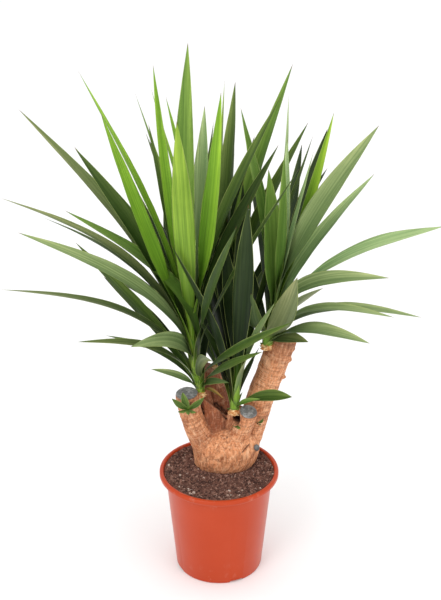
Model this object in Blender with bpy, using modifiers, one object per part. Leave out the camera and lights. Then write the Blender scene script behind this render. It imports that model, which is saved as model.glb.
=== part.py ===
"""Potted yucca: a branched, sawn-off cane in a plastic nursery pot, with four leafy shoots.

Metres, +Z up. The origin is the middle of the pot's foot, on the surface that it stands on.
+X is to the right and +Y to the back of the plant as it is usually seen.
"""
import math
import random
from collections import namedtuple

import bmesh
import bpy
from mathutils import Matrix, Vector, noise
from mathutils.bvhtree import BVHTree

MM = 0.001
CM = 0.01

# Pot: a thin moulded nursery pot with a hooked collar
RIM_R = 120 * MM
POT_H = 220 * MM
WALL = 1.8 * MM
BODY_TOP_R = 106.5 * MM
BODY_TOP_Z = 201 * MM
BODY_FOOT_R = 88 * MM
FOOT_RING_R = 81 * MM
FLOOR_Z = 5 * MM
PAD_R = 27 * MM
COLLAR_R = 110.5 * MM
COLLAR_Z = 208 * MM
POT_STEPS = 40
DRAIN_HOLES = 8
DRAIN_HOLE_R = 6 * MM
DRAIN_RING_R = 54 * MM
NOTCHES = 4
NOTCH_W = 28 * MM
NOTCH_H = 4.6 * MM
NOTCH_FIRST_DEG = -66

# Soil
GAP = 0.4 * MM
ROOT_GAP = 0.6 * MM
SOIL_TOP_Z = 213 * MM
SOIL_RELIEF = 2.6 * MM
SOIL_STEPS = 36
SOIL_RINGS = 7

# Trunk: centre line points (x, y, z, radius) in millimetres, from the root up
STUMP = [(7, 36, 92, 20), (7, 36, 104, 33), (8, 36, 150, 43), (8, 36, 190, 47), (5, 37, 207, 49),
         (9, 38, 226, 57), (13, 40, 246, 61), (13, 39, 268, 59), (11, 38, 285, 49), (9, 37, 296, 35),
         (8, 37, 301, 16)]
STUMP_WIDTH = 1.12
STUMP_DEPTH = 0.94
Limb = namedtuple("Limb", "name points sides cut_at cut_normal")
LIMBS = [
    Limb("left_stub", [(-8, 32, 232, 36), (-34, 28, 278, 27.5), (-51, 24, 318, 23), (-59, 21, 350, 22.5),
                       (-66, 19, 398, 23.5)], 16, (-64, 20, 382), (-0.08, -0.10, 0.99)),
    Limb("front_stub", [(18, 34, 248, 30), (38, 19, 288, 23), (51, 8, 325, 19.5), (62, -3, 366, 19)],
         14, (58, 0, 351), (0.14, -0.32, 0.94)),
    Limb("tall_cane", [(24, 44, 228, 30), (54, 48, 262, 30), (68, 50, 300, 28), (84, 50, 360, 27.5),
                       (107, 50, 430, 27.5), (132, 50, 510, 28)], 16, (127, 50, 495), (0.10, -0.02, 0.99)),
    Limb("oblique_stub", [(5, 42, 240, 32), (-4, 43, 290, 28), (-8, 43, 345, 27.5), (-11, 43, 395, 27)],
         14, (-7, 28, 345), (0.60, 0.42, 0.68)),
    Limb("rear_cane", [(8, 60, 240, 31), (-1, 71, 300, 28.5), (-12, 80, 360, 26.5), (-27, 89, 420, 23.5)],
         14, (-24, 87, 405), (0.30, 0.05, 0.95)),
    Limb("side_knot", [(58, 26, 254, 10), (70, 15, 260, 8.5), (82, 5, 265, 8)], 10, (75, 10, 262),
         (0.62, -0.64, 0.45)),
]
LIMB_RINGS = 9
STUMP_RINGS = 14
STUMP_SIDES = 22
BARK_RELIEF = 1.7 * MM
BARK_STARTS_Z = 219 * MM
BARK_FULL_Z = 241 * MM

# Grey wax over the sawn ends: limb name, radius and thickness
WAX = [("left_stub", 21.5 * MM), ("front_stub", 17 * MM), ("tall_cane", 25 * MM), ("side_knot", 6.6 * MM)]
WAX_T = 1.6 * MM
WAX_SIDES = 16

# Leaf blades. A tip is (x, y, z) in centimetres in the pot's frame, and the width and the bow are in millimetres.
# A positive bow lifts the middle of the blade towards its shoot's axis. The last number is the share of its width
# that a blade shows to the front: 1 is the upper face seen flat on, 0 is edge on and -1 is the lower face.
# Each list runs up its stem, from the oldest leaf to the youngest.
Blade = namedtuple("Blade", "tip width bow shows widest", defaults=(0.5,))
Fill = namedtuple("Fill", "count bearing rise length")
Shoot = namedtuple("Shoot", "name stem leafy blades fill")
SHOOTS = [
    Shoot("shoot_front", [(46, 8, 334, 5), (31, 12, 342, 9), (31, 11, 358, 9.5), (34, 7, 398, 8.5),
                          (37, 3, 452, 4)], (0.34, 0.96), [
        Blade((8, -5, 41), 10, 8, 0.6), Blade((14, -6, 42), 26, 14, 0.7, 0.7), Blade((7, 4, 45), 14, 6, 0.6),
        Blade((8, 5, 47), 16, 8, 0.5), Blade((-4.4, 1, 56), 30, 6, 0.6), Blade((-2, 7, 54), 34, 6, 0.8),
        Blade((10, -14, 66), 30, 8, 0.55), Blade((18, 10, 89), 24, 14, 0.5), Blade((6, 2, 80), 26, 4, 0.5),
        Blade((5, -5, 81), 40, 2, -0.8)],
        Fill(8, (80, 200), (58, 84), (30, 45))),
    Shoot("shoot_left", [(-54, 25, 352, 5.5), (-37, 39, 366, 9.5), (-39, 40, 392, 10), (-46, 30, 436, 11),
                         (-52, 22, 496, 8), (-55, 20, 540, 4)], (0.25, 0.97), [
        Blade((1, -5, 41), 7, 12, 0.6), Blade((-13, -4, 47), 16, 10, 0.6), Blade((2, -4, 44), 14, 12, 0.6),
        Blade((-23, 12, 46), 20, 30, 0.6), Blade((-26, -12, 57), 20, 40, 0.5), Blade((-1, -14, 54), 22, 28, -0.45),
        Blade((8, -12, 55), 20, 6, 0.4), Blade((-16, -14, 57), 34, 50, 0.7), Blade((-42, 4, 60), 30, 78, 0.4),
        Blade((-29, 20, 63), 36, 10, 0.65), Blade((13, -16, 63), 22, 8, 0.45), Blade((-36, -8, 77), 38, 66, 0.6),
        Blade((-35, 18, 69), 18, 112, 0.5), Blade((-29, 5, 76), 40, 94, 0.6), Blade((-41, 10, 78), 30, 122, 0.5),
        Blade((-28, 20, 84), 34, 60, 0.5), Blade((3, -22, 84), 30, 12, 0.55), Blade((-25.7, -2, 90.8), 46, 30, 0.7),
        Blade((-37.3, 8, 94.9), 38, 54, 0.6), Blade((14, -8, 89), 30, 6, 0.2), Blade((-13, 8, 92), 30, 2, 0.65),
        Blade((11, 5, 89), 40, 18, 0.6), Blade((-25, 4, 103), 32, 28, 0.35), Blade((-20.2, -8, 99), 42, -6, 0.55),
        Blade((-1, 12, 91), 26, 4, 0.5), Blade((-2.6, 8, 95.4), 42, -4, 0.9), Blade((12, 12, 97), 32, 30, 0.45),
        Blade((-11.4, -2, 106), 30, -10, 0.65), Blade((0.4, -5, 102), 42, -12, 0.85),
        Blade((-6, 5, 108.4), 44, 26, 0.9), Blade((-7, -15, 100), 42, 2, -0.9)],
        Fill(6, (60, 140), (14, 60), (32, 44))),
    Shoot("shoot_right", [(106, 42, 462, 5.5), (93, 33, 477, 10), (94, 32, 492, 10), (100, 30, 525, 9),
                          (108, 28, 578, 4)], (0.38, 0.96), [
        Blade((17, -6, 54), 28, 16, 0.7), Blade((28, -10, 56), 34, 26, 0.5), Blade((21, 15, 55), 36, 20, -0.7),
        Blade((32, -10, 61), 26, 44, 0.5), Blade((38, -4, 58), 32, 44, 0.5), Blade((31, -8, 68), 34, 58, 0.7),
        Blade((42, 2, 74), 36, 58, 0.6, 0.7), Blade((14, -12, 70), 46, -22, -0.95), Blade((6, -4, 63), 30, -16, -0.8),
        Blade((29, 6, 83), 38, 24, 0.6), Blade((9, 0, 86), 44, 6, 0.8), Blade((12, 0, 89), 30, 6, 0.5),
        Blade((17, 2, 89), 24, 6, 0.4), Blade((13, 4, 90), 36, 6, 0.75), Blade((4, 5, 96), 36, 14, 0.65),
        Blade((13, 12, 96), 24, 4, 0.4), Blade((28, -5, 96), 44, 22, 0.98), Blade((20, -3, 98), 28, -8, 0.6)],
        Fill(8, (60, 165), (20, 66), (30, 44))),
    Shoot("shoot_rear", [(-20, 90, 384, 5.5), (-1, 98, 394, 9.5), (0, 101, 412, 9), (-1, 104, 460, 8),
                         (0, 108, 530, 4)], (0.28, 0.96), [
        Blade((20, 18, 73), 26, 16, 0.4), Blade((26, 20, 79), 26, 24, 0.4), Blade((-14, 15, 88), 28, 6, 0.5),
        Blade((-16, 20, 94), 24, 6, 0.4), Blade((-13, 20, 95), 24, 6, 0.4), Blade((17, 15, 90), 36, 22, 0.7),
        Blade((-10, 15, 95), 28, 4, 0.6), Blade((13.5, 10, 102.7), 38, 16, 0.7),
        Blade((1.8, 13, 98.5), 34, 6, 0.5), Blade((3, 8, 100), 42, 6, -0.7)],
        Fill(12, (40, 145), (10, 76), (34, 46))),
]
STEM_SIDES = 8
STEM_RINGS = 8
STRAIGHT_SECTIONS = (0.0, 0.18, 0.42, 0.68, 0.87)
BENT_SECTIONS = (0.0, 0.15, 0.32, 0.52, 0.72, 0.88)
BENT_FROM = 30 * MM
SHORT_SECTIONS = (0.0, 0.30, 0.58, 0.82)
SHORT_BLADE = 200 * MM
BLADE_T = 1.7 * MM
BLADE_FOLD = 0.20
ROOT_WIDTH = 0.36
FUSED_SHARE = 0.20
CLEAR_OF_NEIGHBOURS = 0.9 * MM
TRIES = 300
SEEN_FROM = (0.0, -2.3, 1.7)
MOVE_TO_AND_FRO = 110 * MM
MOVE_ANY_WAY = 30 * MM
MOST_ROLL_DEG = 75
SEED = 7

# Sprouts: short leaves from one seat in the bark, each as (direction, length, width) in millimetres
Sprout = namedtuple("Sprout", "name aim leaves")
SPROUTS = [
    Sprout("tuft_left", (-61, 8, 354), [((-32, -9, 30), 44, 15), ((-11, -8, 45), 45, 16), ((33, -8, 32), 46, 14),
                                        ((18, -12, -1), 20, 9), ((-20, -12, 1), 24, 9), ((1, -12, -8), 13, 10)]),
    Sprout("bud_front", (37, 10, 314), [((-7, -6, 4), 13, 8), ((5, -8, 1), 13, 8)]),
    Sprout("bud_right", (77, 40, 303), [((6, -6, 9), 24, 9), ((4, -6, 2), 13, 7)]),
]
SPROUT_SECTIONS = (0.0, 0.38, 0.72)
STALK_R = 3.2 * MM
STALK_SUNK = 3.5 * MM

PLANT = bpy.data.collections.new("potted_yucca")
CUTTERS = bpy.data.collections.new("cutters")


def clear_scene():
    for obj in list(bpy.data.objects):
        bpy.data.objects.remove(obj, do_unlink=True)
    for collection in (PLANT, CUTTERS):
        bpy.context.scene.collection.children.link(collection)


def material(name, colour, roughness):
    made = bpy.data.materials.new(name)
    made.use_nodes = True
    shader = made.node_tree.nodes["Principled BSDF"]
    shader.inputs["Base Color"].default_value = (*colour, 1.0)
    shader.inputs["Roughness"].default_value = roughness
    shader.inputs["Metallic"].default_value = 0.0
    return made


def object_of(name, mesh, finish=None):
    obj = bpy.data.objects.new(name, mesh)
    PLANT.objects.link(obj)
    if finish:
        mesh.materials.clear()
        mesh.materials.append(finish)
    return obj


def object_from_bmesh(name, bm, finish=None):
    bmesh.ops.recalc_face_normals(bm, faces=bm.faces)
    mesh = bpy.data.meshes.new(name)
    bm.to_mesh(mesh)
    bm.free()
    return object_of(name, mesh, finish)


def evaluated_mesh(obj):
    """The object's mesh with its modifiers applied."""
    bpy.context.view_layer.update()
    graph = bpy.context.evaluated_depsgraph_get()
    return bpy.data.meshes.new_from_object(obj.evaluated_get(graph))


def remove(obj):
    bpy.data.objects.remove(obj, do_unlink=True)


def smooth(t):
    t = min(1.0, max(0.0, t))
    return t * t * (3 - 2 * t)


def apply_modifiers(obj):
    mesh = evaluated_mesh(obj)
    obj.modifiers.clear()
    obj.data = mesh


def apply_boolean(obj, operation, others):
    """Joins or cuts obj with the other objects, which are removed afterwards."""
    for other in others:
        for holder in list(other.users_collection):
            holder.objects.unlink(other)
        CUTTERS.objects.link(other)
        other.hide_render = True
        other.display_type = "WIRE"
    modifier = obj.modifiers.new(operation.lower(), "BOOLEAN")
    modifier.operation = operation
    modifier.operand_type = "COLLECTION"
    modifier.collection = CUTTERS
    modifier.solver = "EXACT"
    apply_modifiers(obj)
    for other in others:
        remove(other)


def fill_pockets(obj):
    """Closes the pockets that a union has sealed inside: all but the outer skin is removed."""
    bm = bmesh.new()
    bm.from_mesh(obj.data)
    seen, skins = set(), []
    for seed in bm.verts:
        if seed in seen:
            continue
        skin, open_ends = [], [seed]
        seen.add(seed)
        while open_ends:
            vert = open_ends.pop()
            skin.append(vert)
            for edge in vert.link_edges:
                other = edge.other_vert(vert)
                if other not in seen:
                    seen.add(other)
                    open_ends.append(other)
        skins.append(skin)
    skins.sort(key=len)
    bmesh.ops.delete(bm, geom=[vert for skin in skins[:-1] for vert in skin], context="VERTS")
    bm.to_mesh(obj.data)
    bm.free()


# Pot

def pot_profile():
    """(radius, height) from the middle of the floor inside, over the collar and down the outside to the foot."""
    inside_foot = BODY_FOOT_R - WALL - 3 * MM
    inside_top = BODY_TOP_R - WALL
    return [
        (0, 2 * MM), (PAD_R, 2 * MM), (PAD_R + FLOOR_Z, FLOOR_Z + 2 * MM), (inside_foot, FLOOR_Z + 2 * MM),
        (BODY_FOOT_R - WALL, FLOOR_Z + 7 * MM), (inside_top, BODY_TOP_Z),
        (inside_top + 1.4 * MM, BODY_TOP_Z + 3.4 * MM), (COLLAR_R - 0.8 * MM, COLLAR_Z),
        (COLLAR_R, COLLAR_Z + 1.2 * MM), (COLLAR_R + 0.7 * MM, POT_H - 3 * MM),
        (COLLAR_R + 2.4 * MM, POT_H - 0.6 * MM), (COLLAR_R + 4.4 * MM, POT_H),
        (RIM_R - 1.8 * MM, POT_H - 0.8 * MM), (RIM_R, POT_H - 3 * MM), (RIM_R, POT_H - 8.5 * MM),
        (RIM_R - 0.7 * MM, POT_H - 9.5 * MM), (RIM_R - 1.7 * MM, POT_H - 8.9 * MM),
        (RIM_R - 1.9 * MM, POT_H - 4 * MM), (COLLAR_R + 3.6 * MM, POT_H - 2.6 * MM),
        (COLLAR_R + 1.8 * MM, COLLAR_Z - 0.3 * MM), (BODY_TOP_R + 1.6 * MM, BODY_TOP_Z + 2.8 * MM),
        (BODY_TOP_R, BODY_TOP_Z - 2.5 * MM), (BODY_FOOT_R, 4 * MM), (BODY_FOOT_R - 0.9 * MM, 1.2 * MM),
        (BODY_FOOT_R - 2.6 * MM, 0), (FOOT_RING_R, 0), (FOOT_RING_R - 1.5 * MM, FLOOR_Z),
        (PAD_R + FLOOR_Z + 1.6 * MM, FLOOR_Z), (PAD_R + 1.6 * MM, 0), (0, 0),
    ]


def turned(name, profile, steps, finish):
    """A profile turned about the Z axis by a Screw modifier."""
    mesh = bpy.data.meshes.new(name)
    mesh.from_pydata([(r, 0, z) for r, z in profile], [(i, i + 1) for i in range(len(profile) - 1)], [])
    obj = object_of(name, mesh, finish)
    screw = obj.modifiers.new("turn", "SCREW")
    screw.steps = screw.render_steps = steps
    screw.use_merge_vertices = True
    screw.merge_threshold = 0.00001
    apply_modifiers(obj)
    return obj


def drain_cutters():
    cutters = []
    for i in range(DRAIN_HOLES):
        turn = 2 * math.pi * i / DRAIN_HOLES
        bpy.ops.mesh.primitive_cylinder_add(
            vertices=12, radius=DRAIN_HOLE_R, depth=8 * MM,
            location=(DRAIN_RING_R * math.cos(turn), DRAIN_RING_R * math.sin(turn), FLOOR_Z + 1 * MM))
        cutters.append(bpy.context.active_object)
    for i in range(NOTCHES):
        turn = math.radians(NOTCH_FIRST_DEG + 360 * i / NOTCHES)
        bpy.ops.mesh.primitive_cube_add(size=1)
        notch = bpy.context.active_object
        notch.data.transform(Matrix.Diagonal((16 * MM, NOTCH_W, 2 * NOTCH_H, 1)))
        notch.location = (BODY_FOOT_R * math.cos(turn), BODY_FOOT_R * math.sin(turn), 0)
        notch.rotation_euler.z = turn
        cutters.append(notch)
    return cutters


def make_pot(finish):
    pot = turned("pot", pot_profile(), POT_STEPS, finish)
    apply_boolean(pot, "DIFFERENCE", drain_cutters())
    pot.data.shade_smooth()
    pot.data.set_sharp_from_angle(angle=math.radians(35))
    return pot


# Trunk

def tube(name, points, sides):
    """A closed tube with a changing radius along (x, y, z, radius) points in millimetres, as a mesh."""
    curve = bpy.data.curves.new(name, "CURVE")
    curve.dimensions = "3D"
    curve.bevel_depth = 1.0
    curve.bevel_resolution = (sides - 4) // 2
    curve.use_fill_caps = True
    spline = curve.splines.new("POLY")
    spline.points.add(len(points) - 1)
    for point, (x, y, z, radius) in zip(spline.points, points):
        point.co = (x * MM, y * MM, z * MM, 1)
        point.radius = radius * MM
    guide = object_of(name, curve)
    mesh = evaluated_mesh(guide)
    remove(guide)
    bpy.data.curves.remove(curve)
    bm = bmesh.new()
    bm.from_mesh(mesh)
    bmesh.ops.remove_doubles(bm, verts=bm.verts, dist=1e-5)
    bpy.data.meshes.remove(mesh)
    return bm


def smooth_points(points, count):
    """count points read evenly from a smooth curve through the given (x, y, z, radius) points."""
    def at(i):
        return Vector(points[max(0, min(len(points) - 1, i))])
    read = []
    for k in range(count):
        place = (len(points) - 1) * k / (count - 1)
        i = min(int(place), len(points) - 2)
        t = place - i
        a, b, c, d = at(i - 1), at(i), at(i + 1), at(i + 2)
        read.append(tuple(0.5 * (2 * b + (c - a) * t + (2 * a - 5 * b + 4 * c - d) * t ** 2
                                 + (3 * b - a - 3 * c + d) * t ** 3)))
    return read


def roughen_bark(bm):
    """Low bumps and scars on all that stands above the soil."""
    bm.normal_update()
    for vert in bm.verts:
        share = smooth((vert.co.z - BARK_STARTS_Z) / (BARK_FULL_Z - BARK_STARTS_Z))
        bump = noise.noise(vert.co * 38) + 0.5 * noise.noise(vert.co * 95)
        vert.co += vert.normal * share * BARK_RELIEF * bump


def sawn_off(bm, at, normal):
    """Cuts the tube with a plane and closes the cut."""
    cut = bmesh.ops.bisect_plane(bm, geom=bm.verts[:] + bm.edges[:] + bm.faces[:], plane_co=Vector(at) * MM,
                                 plane_no=Vector(normal), clear_outer=True)
    edges = [part for part in cut["geom_cut"] if isinstance(part, bmesh.types.BMEdge)]
    bmesh.ops.contextual_create(bm, geom=edges)


def stump_tube(points):
    """The stump's tube, broadened across and flattened from front to back about its own middle.

    It is split into triangles here, so that the stump and the cutter for its hole have the same facets.
    """
    bm = tube("stump_guide", points, STUMP_SIDES)
    middle_x, middle_y = STUMP[5][0] * MM, STUMP[5][1] * MM
    for vert in bm.verts:
        vert.co.x = middle_x + (vert.co.x - middle_x) * STUMP_WIDTH
        vert.co.y = middle_y + (vert.co.y - middle_y) * STUMP_DEPTH
    bmesh.ops.triangulate(bm, faces=bm.faces, quad_method="FIXED")
    return bm


def stump_guide():
    bm = stump_tube(smooth_points(STUMP, STUMP_RINGS))
    roughen_bark(bm)
    return bm


def limb_guide(limb):
    bm = tube(limb.name, smooth_points(limb.points, LIMB_RINGS), limb.sides)
    roughen_bark(bm)
    sawn_off(bm, limb.cut_at, limb.cut_normal)
    return bm


def make_trunk(seats, finish):
    """Stump and limbs in one piece, with a hole for each shoot and sprout."""
    trunk = object_from_bmesh("trunk", stump_guide(), finish)
    apply_boolean(trunk, "UNION", [object_from_bmesh(limb.name, limb_guide(limb)) for limb in LIMBS])
    fill_pockets(trunk)
    holes = [socket_cutter(shoot) for shoot in SHOOTS]
    holes += [stalk(name + "_hole", seat, normal, GAP, 8 * MM) for name, (seat, normal) in seats.items()]
    apply_boolean(trunk, "DIFFERENCE", holes)
    fill_pockets(trunk)
    return trunk


def stem_guide(shoot):
    return smooth_points(shoot.stem, STEM_RINGS)


def socket_cutter(shoot):
    """The shoot's stem, a little larger all round, to open its socket in the trunk."""
    guide = [Vector(point) + Vector((0, 0, 0, GAP / MM)) for point in stem_guide(shoot)]
    back = (guide[0] - guide[1]).xyz.normalized() * GAP / MM
    guide[0].xyz = guide[0].xyz + back
    return object_from_bmesh(shoot.name + "_socket", tube("socket_guide", guide, STEM_SIDES))


# Soil

def make_soil(trunk_guide, finish):
    """Peat that fills the pot, with a bumpy top and a plain hole for the trunk."""
    inside = [(0, 2 * MM), (PAD_R, 2 * MM), (PAD_R + FLOOR_Z, FLOOR_Z + 2 * MM),
              (BODY_FOOT_R - WALL - 3 * MM, FLOOR_Z + 2 * MM), (BODY_FOOT_R - WALL, FLOOR_Z + 7 * MM),
              (BODY_TOP_R - WALL, BODY_TOP_Z), (BODY_TOP_R - WALL + 1.4 * MM, BODY_TOP_Z + 3.4 * MM),
              (COLLAR_R - 0.8 * MM, COLLAR_Z), (COLLAR_R, COLLAR_Z + 1.2 * MM)]
    sides = [(max(0, r - GAP), z + GAP) for r, z in inside]
    edge_r = sides[-1][0]
    top = [(edge_r * (SOIL_RINGS - i) / SOIL_RINGS, SOIL_TOP_Z) for i in range(SOIL_RINGS + 1)]
    soil = turned("soil", top[::-1] + sides[::-1], SOIL_STEPS, finish)
    for vert in soil.data.vertices:
        if vert.co.z < SOIL_TOP_Z - 0.5 * MM:
            continue
        crumbs = noise.noise(vert.co * 60) + 0.7 * noise.noise(vert.co * 140)
        vert.co.z += SOIL_RELIEF * crumbs * smooth((edge_r - vert.co.xy.length) / (8 * MM))
    apply_boolean(soil, "DIFFERENCE", [trunk_guide])
    return soil


def root_cutter():
    """The plain stump, a hair larger. Only its buried end meets the soil."""
    grow = ROOT_GAP / MM
    guide = [(x, y, z, r + grow) for x, y, z, r in smooth_points(STUMP, STUMP_RINGS)]
    x, y, z, r = guide[0]
    guide[0] = (x, y, z - grow, r)
    return object_from_bmesh("root_cutter", stump_tube(guide))


# Wax

def wax_guide(limb, radius):
    """A thin domed disc of sealing wax on a sawn end."""
    bm = bmesh.new()
    rings = [(radius, 0.0), (radius, 0.55 * WAX_T), (0.84 * radius, WAX_T)]
    loops = []
    for r, z in rings:
        loop = []
        for i in range(WAX_SIDES):
            turn = 2 * math.pi * i / WAX_SIDES
            uneven = 1 + 0.03 * noise.noise(Vector((3 * math.cos(turn), 3 * math.sin(turn), radius * 900)))
            loop.append(bm.verts.new((r * uneven * math.cos(turn), r * uneven * math.sin(turn), z)))
        loops.append(loop)
    for lower, upper in zip(loops, loops[1:]):
        for i in range(WAX_SIDES):
            j = (i + 1) % WAX_SIDES
            bm.faces.new((lower[i], lower[j], upper[j], upper[i]))
    bm.faces.new(loops[0][::-1])
    bm.faces.new(loops[-1])
    normal = Vector(limb.cut_normal).normalized()
    place = Matrix.Translation(axis_at(limb.points, limb.cut_at, normal) + normal * GAP)
    bm.transform(place @ normal.to_track_quat("Z", "Y").to_matrix().to_4x4())
    return bm


def axis_at(points, cut_at, normal):
    """Where the centre line meets the cutting plane."""
    target = Vector(cut_at) * MM
    line = [Vector(p[:3]) * MM for p in smooth_points(points, 40)]
    for a, b in zip(line, line[1:]):
        da, db = (a - target).dot(normal), (b - target).dot(normal)
        if da <= 0 <= db:
            return a.lerp(b, da / (da - db))
    return target


# Shoots

class Stem:
    """The centre line of a shoot's stem, read by its share of the length."""

    def __init__(self, points):
        self.points = smooth_points(points, 24)
        self.line = [Vector(p[:3]) * MM for p in self.points]

    def at(self, share):
        place = share * (len(self.line) - 1)
        i = min(int(place), len(self.line) - 2)
        return self.line[i].lerp(self.line[i + 1], place - i)

    def axis(self, share):
        return (self.at(min(1, share + 0.08)) - self.at(max(0, share - 0.08))).normalized()


def half_width(share, width, widest):
    """Half the blade's width: narrow at the sheath, widest at the given share, with a long sharp point."""
    root = ROOT_WIDTH * 2 * (1 - widest)
    if share < widest:
        grown = root + (1 - root) * math.sin(math.pi / 2 * share / widest) ** (1.5 + 5 * (widest - 0.5))
    else:
        grown = 1 - ((share - widest) / (1 - widest)) ** 1.7
    return 0.5 * width * max(0.0, grown)


class Leaf:
    """One blade: its centre line, and the frame that the blade lies in."""

    def __init__(self, root, axis, tip, width, bow, widest=0.5):
        self.root, self.tip, self.width, self.bow, self.widest = root, tip, width, bow, widest
        self.roll = 0.0
        self.chord = tip - root
        along = self.chord.normalized()
        self.up = (axis - along * axis.dot(along)).normalized()

    def centre(self, t):
        return self.root + self.chord * t + self.up * (4 * self.bow * t * (1 - t) * (1.3 - 0.6 * t))

    def frame(self, t):
        """Tangent, side and upper face normal at a share of the length."""
        climb = 4 * self.bow * ((1 - 2 * t) * (1.3 - 0.6 * t) - 0.6 * t * (1 - t))
        tangent = (self.chord + self.up * climb).normalized()
        side = tangent.cross(self.up).normalized()
        side = Matrix.Rotation(self.roll * smooth(t / 0.45), 3, tangent) @ side
        return tangent, side, side.cross(tangent)

    def roll_that_shows(self, share):
        """The least roll that turns this share of the blade's width to the front."""
        _, side, face = self.frame(0.5)
        to_front = (Vector(SEEN_FROM) - self.centre(0.5)).normalized()
        across, flat = side.dot(to_front), face.dot(to_front)
        lean = math.acos(max(-1.0, min(1.0, share / math.hypot(across, flat))))
        rolls = [math.remainder(math.atan2(across, flat) + way * lean, 2 * math.pi) for way in (-1, 1)]
        most = math.radians(MOST_ROLL_DEG)
        return max(-most, min(most, min(rolls, key=abs)))

    def section(self, t, grow=0.0):
        """Left edge, upper middle, right edge and lower middle."""
        _, side, face = self.frame(t)
        centre = self.centre(t)
        half = half_width(t, self.width, self.widest) + grow
        thick = BLADE_T * (1.5 - 0.9 * t) / 2 + grow
        lift = face * half * BLADE_FOLD * (1.5 - t)
        return [centre - side * half + lift, centre + face * thick, centre + side * half + lift,
                centre - face * thick]

    def sections(self):
        if self.chord.length < SHORT_BLADE:
            return SHORT_SECTIONS
        return BENT_SECTIONS if abs(self.bow) > BENT_FROM else STRAIGHT_SECTIONS

    def mesh(self, sections, grow=0.0):
        """Vertices and triangles of the closed blade, split alike on both faces."""
        verts = [corner for t in sections for corner in self.section(t, grow)]
        verts.append(self.centre(1.0))
        faces = []
        for i in range(len(sections) - 1):
            for k in range(4):
                a, b = 4 * i + k, 4 * i + (k + 1) % 4
                c, d = b + 4, a + 4
                faces += [(a, b, c), (a, c, d)] if k % 2 == 0 else [(a, b, d), (b, c, d)]
        last = 4 * (len(sections) - 1)
        faces += [(last + k, last + (k + 1) % 4, len(verts) - 1) for k in range(4)]
        faces += [(0, 3, 1), (1, 3, 2)]
        return verts, faces


Placed = namedtuple("Placed", "shoot whole outer low high")


def outline_tree(leaf, start, grow):
    """A search tree of the blade from a share of its length onwards."""
    sections = [t for t in leaf.sections() if t > start]
    verts, faces = leaf.mesh([start] + sections, grow)
    return BVHTree.FromPolygons(verts, faces), verts


def placed(shoot, leaf, grow=0.0):
    whole, verts = outline_tree(leaf, 0.0, grow)
    outer, _ = outline_tree(leaf, FUSED_SHARE, grow)
    low = Vector(min(v[i] for v in verts) for i in range(3))
    high = Vector(max(v[i] for v in verts) for i in range(3))
    return Placed(shoot, whole, outer, low, high)


def apart(a, b):
    return any(a.low[i] > b.high[i] or b.low[i] > a.high[i] for i in range(3))


def is_clear(candidate, others, solids, of_its_own):
    """Whether the blade clears the other shoots and all solids, and beyond the roots its own shoot as well."""
    for other in others:
        if apart(candidate, other):
            continue
        if other.shoot != candidate.shoot:
            if candidate.whole.overlap(other.whole):
                return False
        elif of_its_own and candidate.outer.overlap(other.outer):
            return False
    return not any(candidate.whole.overlap(tree) for tree in solids)


def moved(root, axis, blade, share, draw):
    """The blade moved by a share of the most that it may move, mostly to and fro as seen from the front."""
    tip = Vector(blade.tip) * CM
    sight = (tip - Vector(SEEN_FROM)).normalized()
    tip += sight * draw.uniform(-1, 1) * share * MOVE_TO_AND_FRO
    tip += Vector(draw.uniform(-1, 1) for _ in range(3)) * share ** 2 * MOVE_ANY_WAY
    leaf = Leaf(root, axis, tip, blade.width * MM, (blade.bow + draw.uniform(-14, 14) * share) * MM, blade.widest)
    leaf.roll = leaf.roll_that_shows(blade.shows) if blade.shows else math.radians(draw.uniform(-14, 14))
    leaf.roll += math.radians(draw.uniform(-32, 32) * share)
    return leaf


def bent_clear(shoot, root, axis, blade, others, solids, draw):
    """The blade, moved a little further each try until it is clear."""
    for of_its_own in (True, False):
        for attempt in range(TRIES):
            leaf = moved(root, axis, blade, attempt / TRIES, draw)
            if is_clear(placed(shoot, leaf, CLEAR_OF_NEIGHBOURS), others, solids, of_its_own):
                return leaf
    return None


def listed(shoot):
    return [((i + 0.5) / len(shoot.blades), blade) for i, blade in enumerate(shoot.blades)]


def filled(shoot):
    """More blades by rule: they climb the stem by the golden angle within their arc, and stand up as they climb."""
    stem = Stem(shoot.stem)
    draw = random.Random(f"{SEED} {shoot.name}")
    made = []
    for i in range(shoot.fill.count):
        up = (i + 0.5) / shoot.fill.count
        low, high = shoot.fill.bearing
        bearing = math.radians(low + (high - low) * ((0.31 + i * 0.618034) % 1.0))
        rise = math.radians(shoot.fill.rise[0] + (shoot.fill.rise[1] - shoot.fill.rise[0]) * up
                            + draw.uniform(-5, 5))
        length = draw.uniform(*shoot.fill.length) * (0.72 + 0.28 * math.sin(math.pi * (0.2 + 0.7 * up)))
        way = Vector((math.cos(bearing) * math.cos(rise), math.sin(bearing) * math.cos(rise), math.sin(rise)))
        tip = stem.at(shoot.leafy[0] + (shoot.leafy[1] - shoot.leafy[0]) * up) / CM + way * length
        made.append((up, Blade(tuple(tip), draw.uniform(28, 42), draw.uniform(6, 34) * math.cos(rise), None)))
    return made


def blade_object(name, leaf, sections):
    verts, faces = leaf.mesh(sections)
    mesh = bpy.data.meshes.new(name)
    mesh.from_pydata([tuple(v) for v in verts], [], faces)
    bm = bmesh.new()
    bm.from_mesh(mesh)
    bpy.data.meshes.remove(mesh)
    return object_from_bmesh(name, bm)


def stem_mesh(shoot):
    return tube("stem_guide", stem_guide(shoot), STEM_SIDES)


def make_shoot(shoot, leaves, finish):
    stem = object_from_bmesh(shoot.name, stem_mesh(shoot), finish)
    blades = [blade_object(f"{shoot.name}_blade_{i}", leaf, leaf.sections()) for i, leaf in enumerate(leaves)]
    apply_boolean(stem, "UNION", blades)
    fill_pockets(stem)
    return stem


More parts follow.
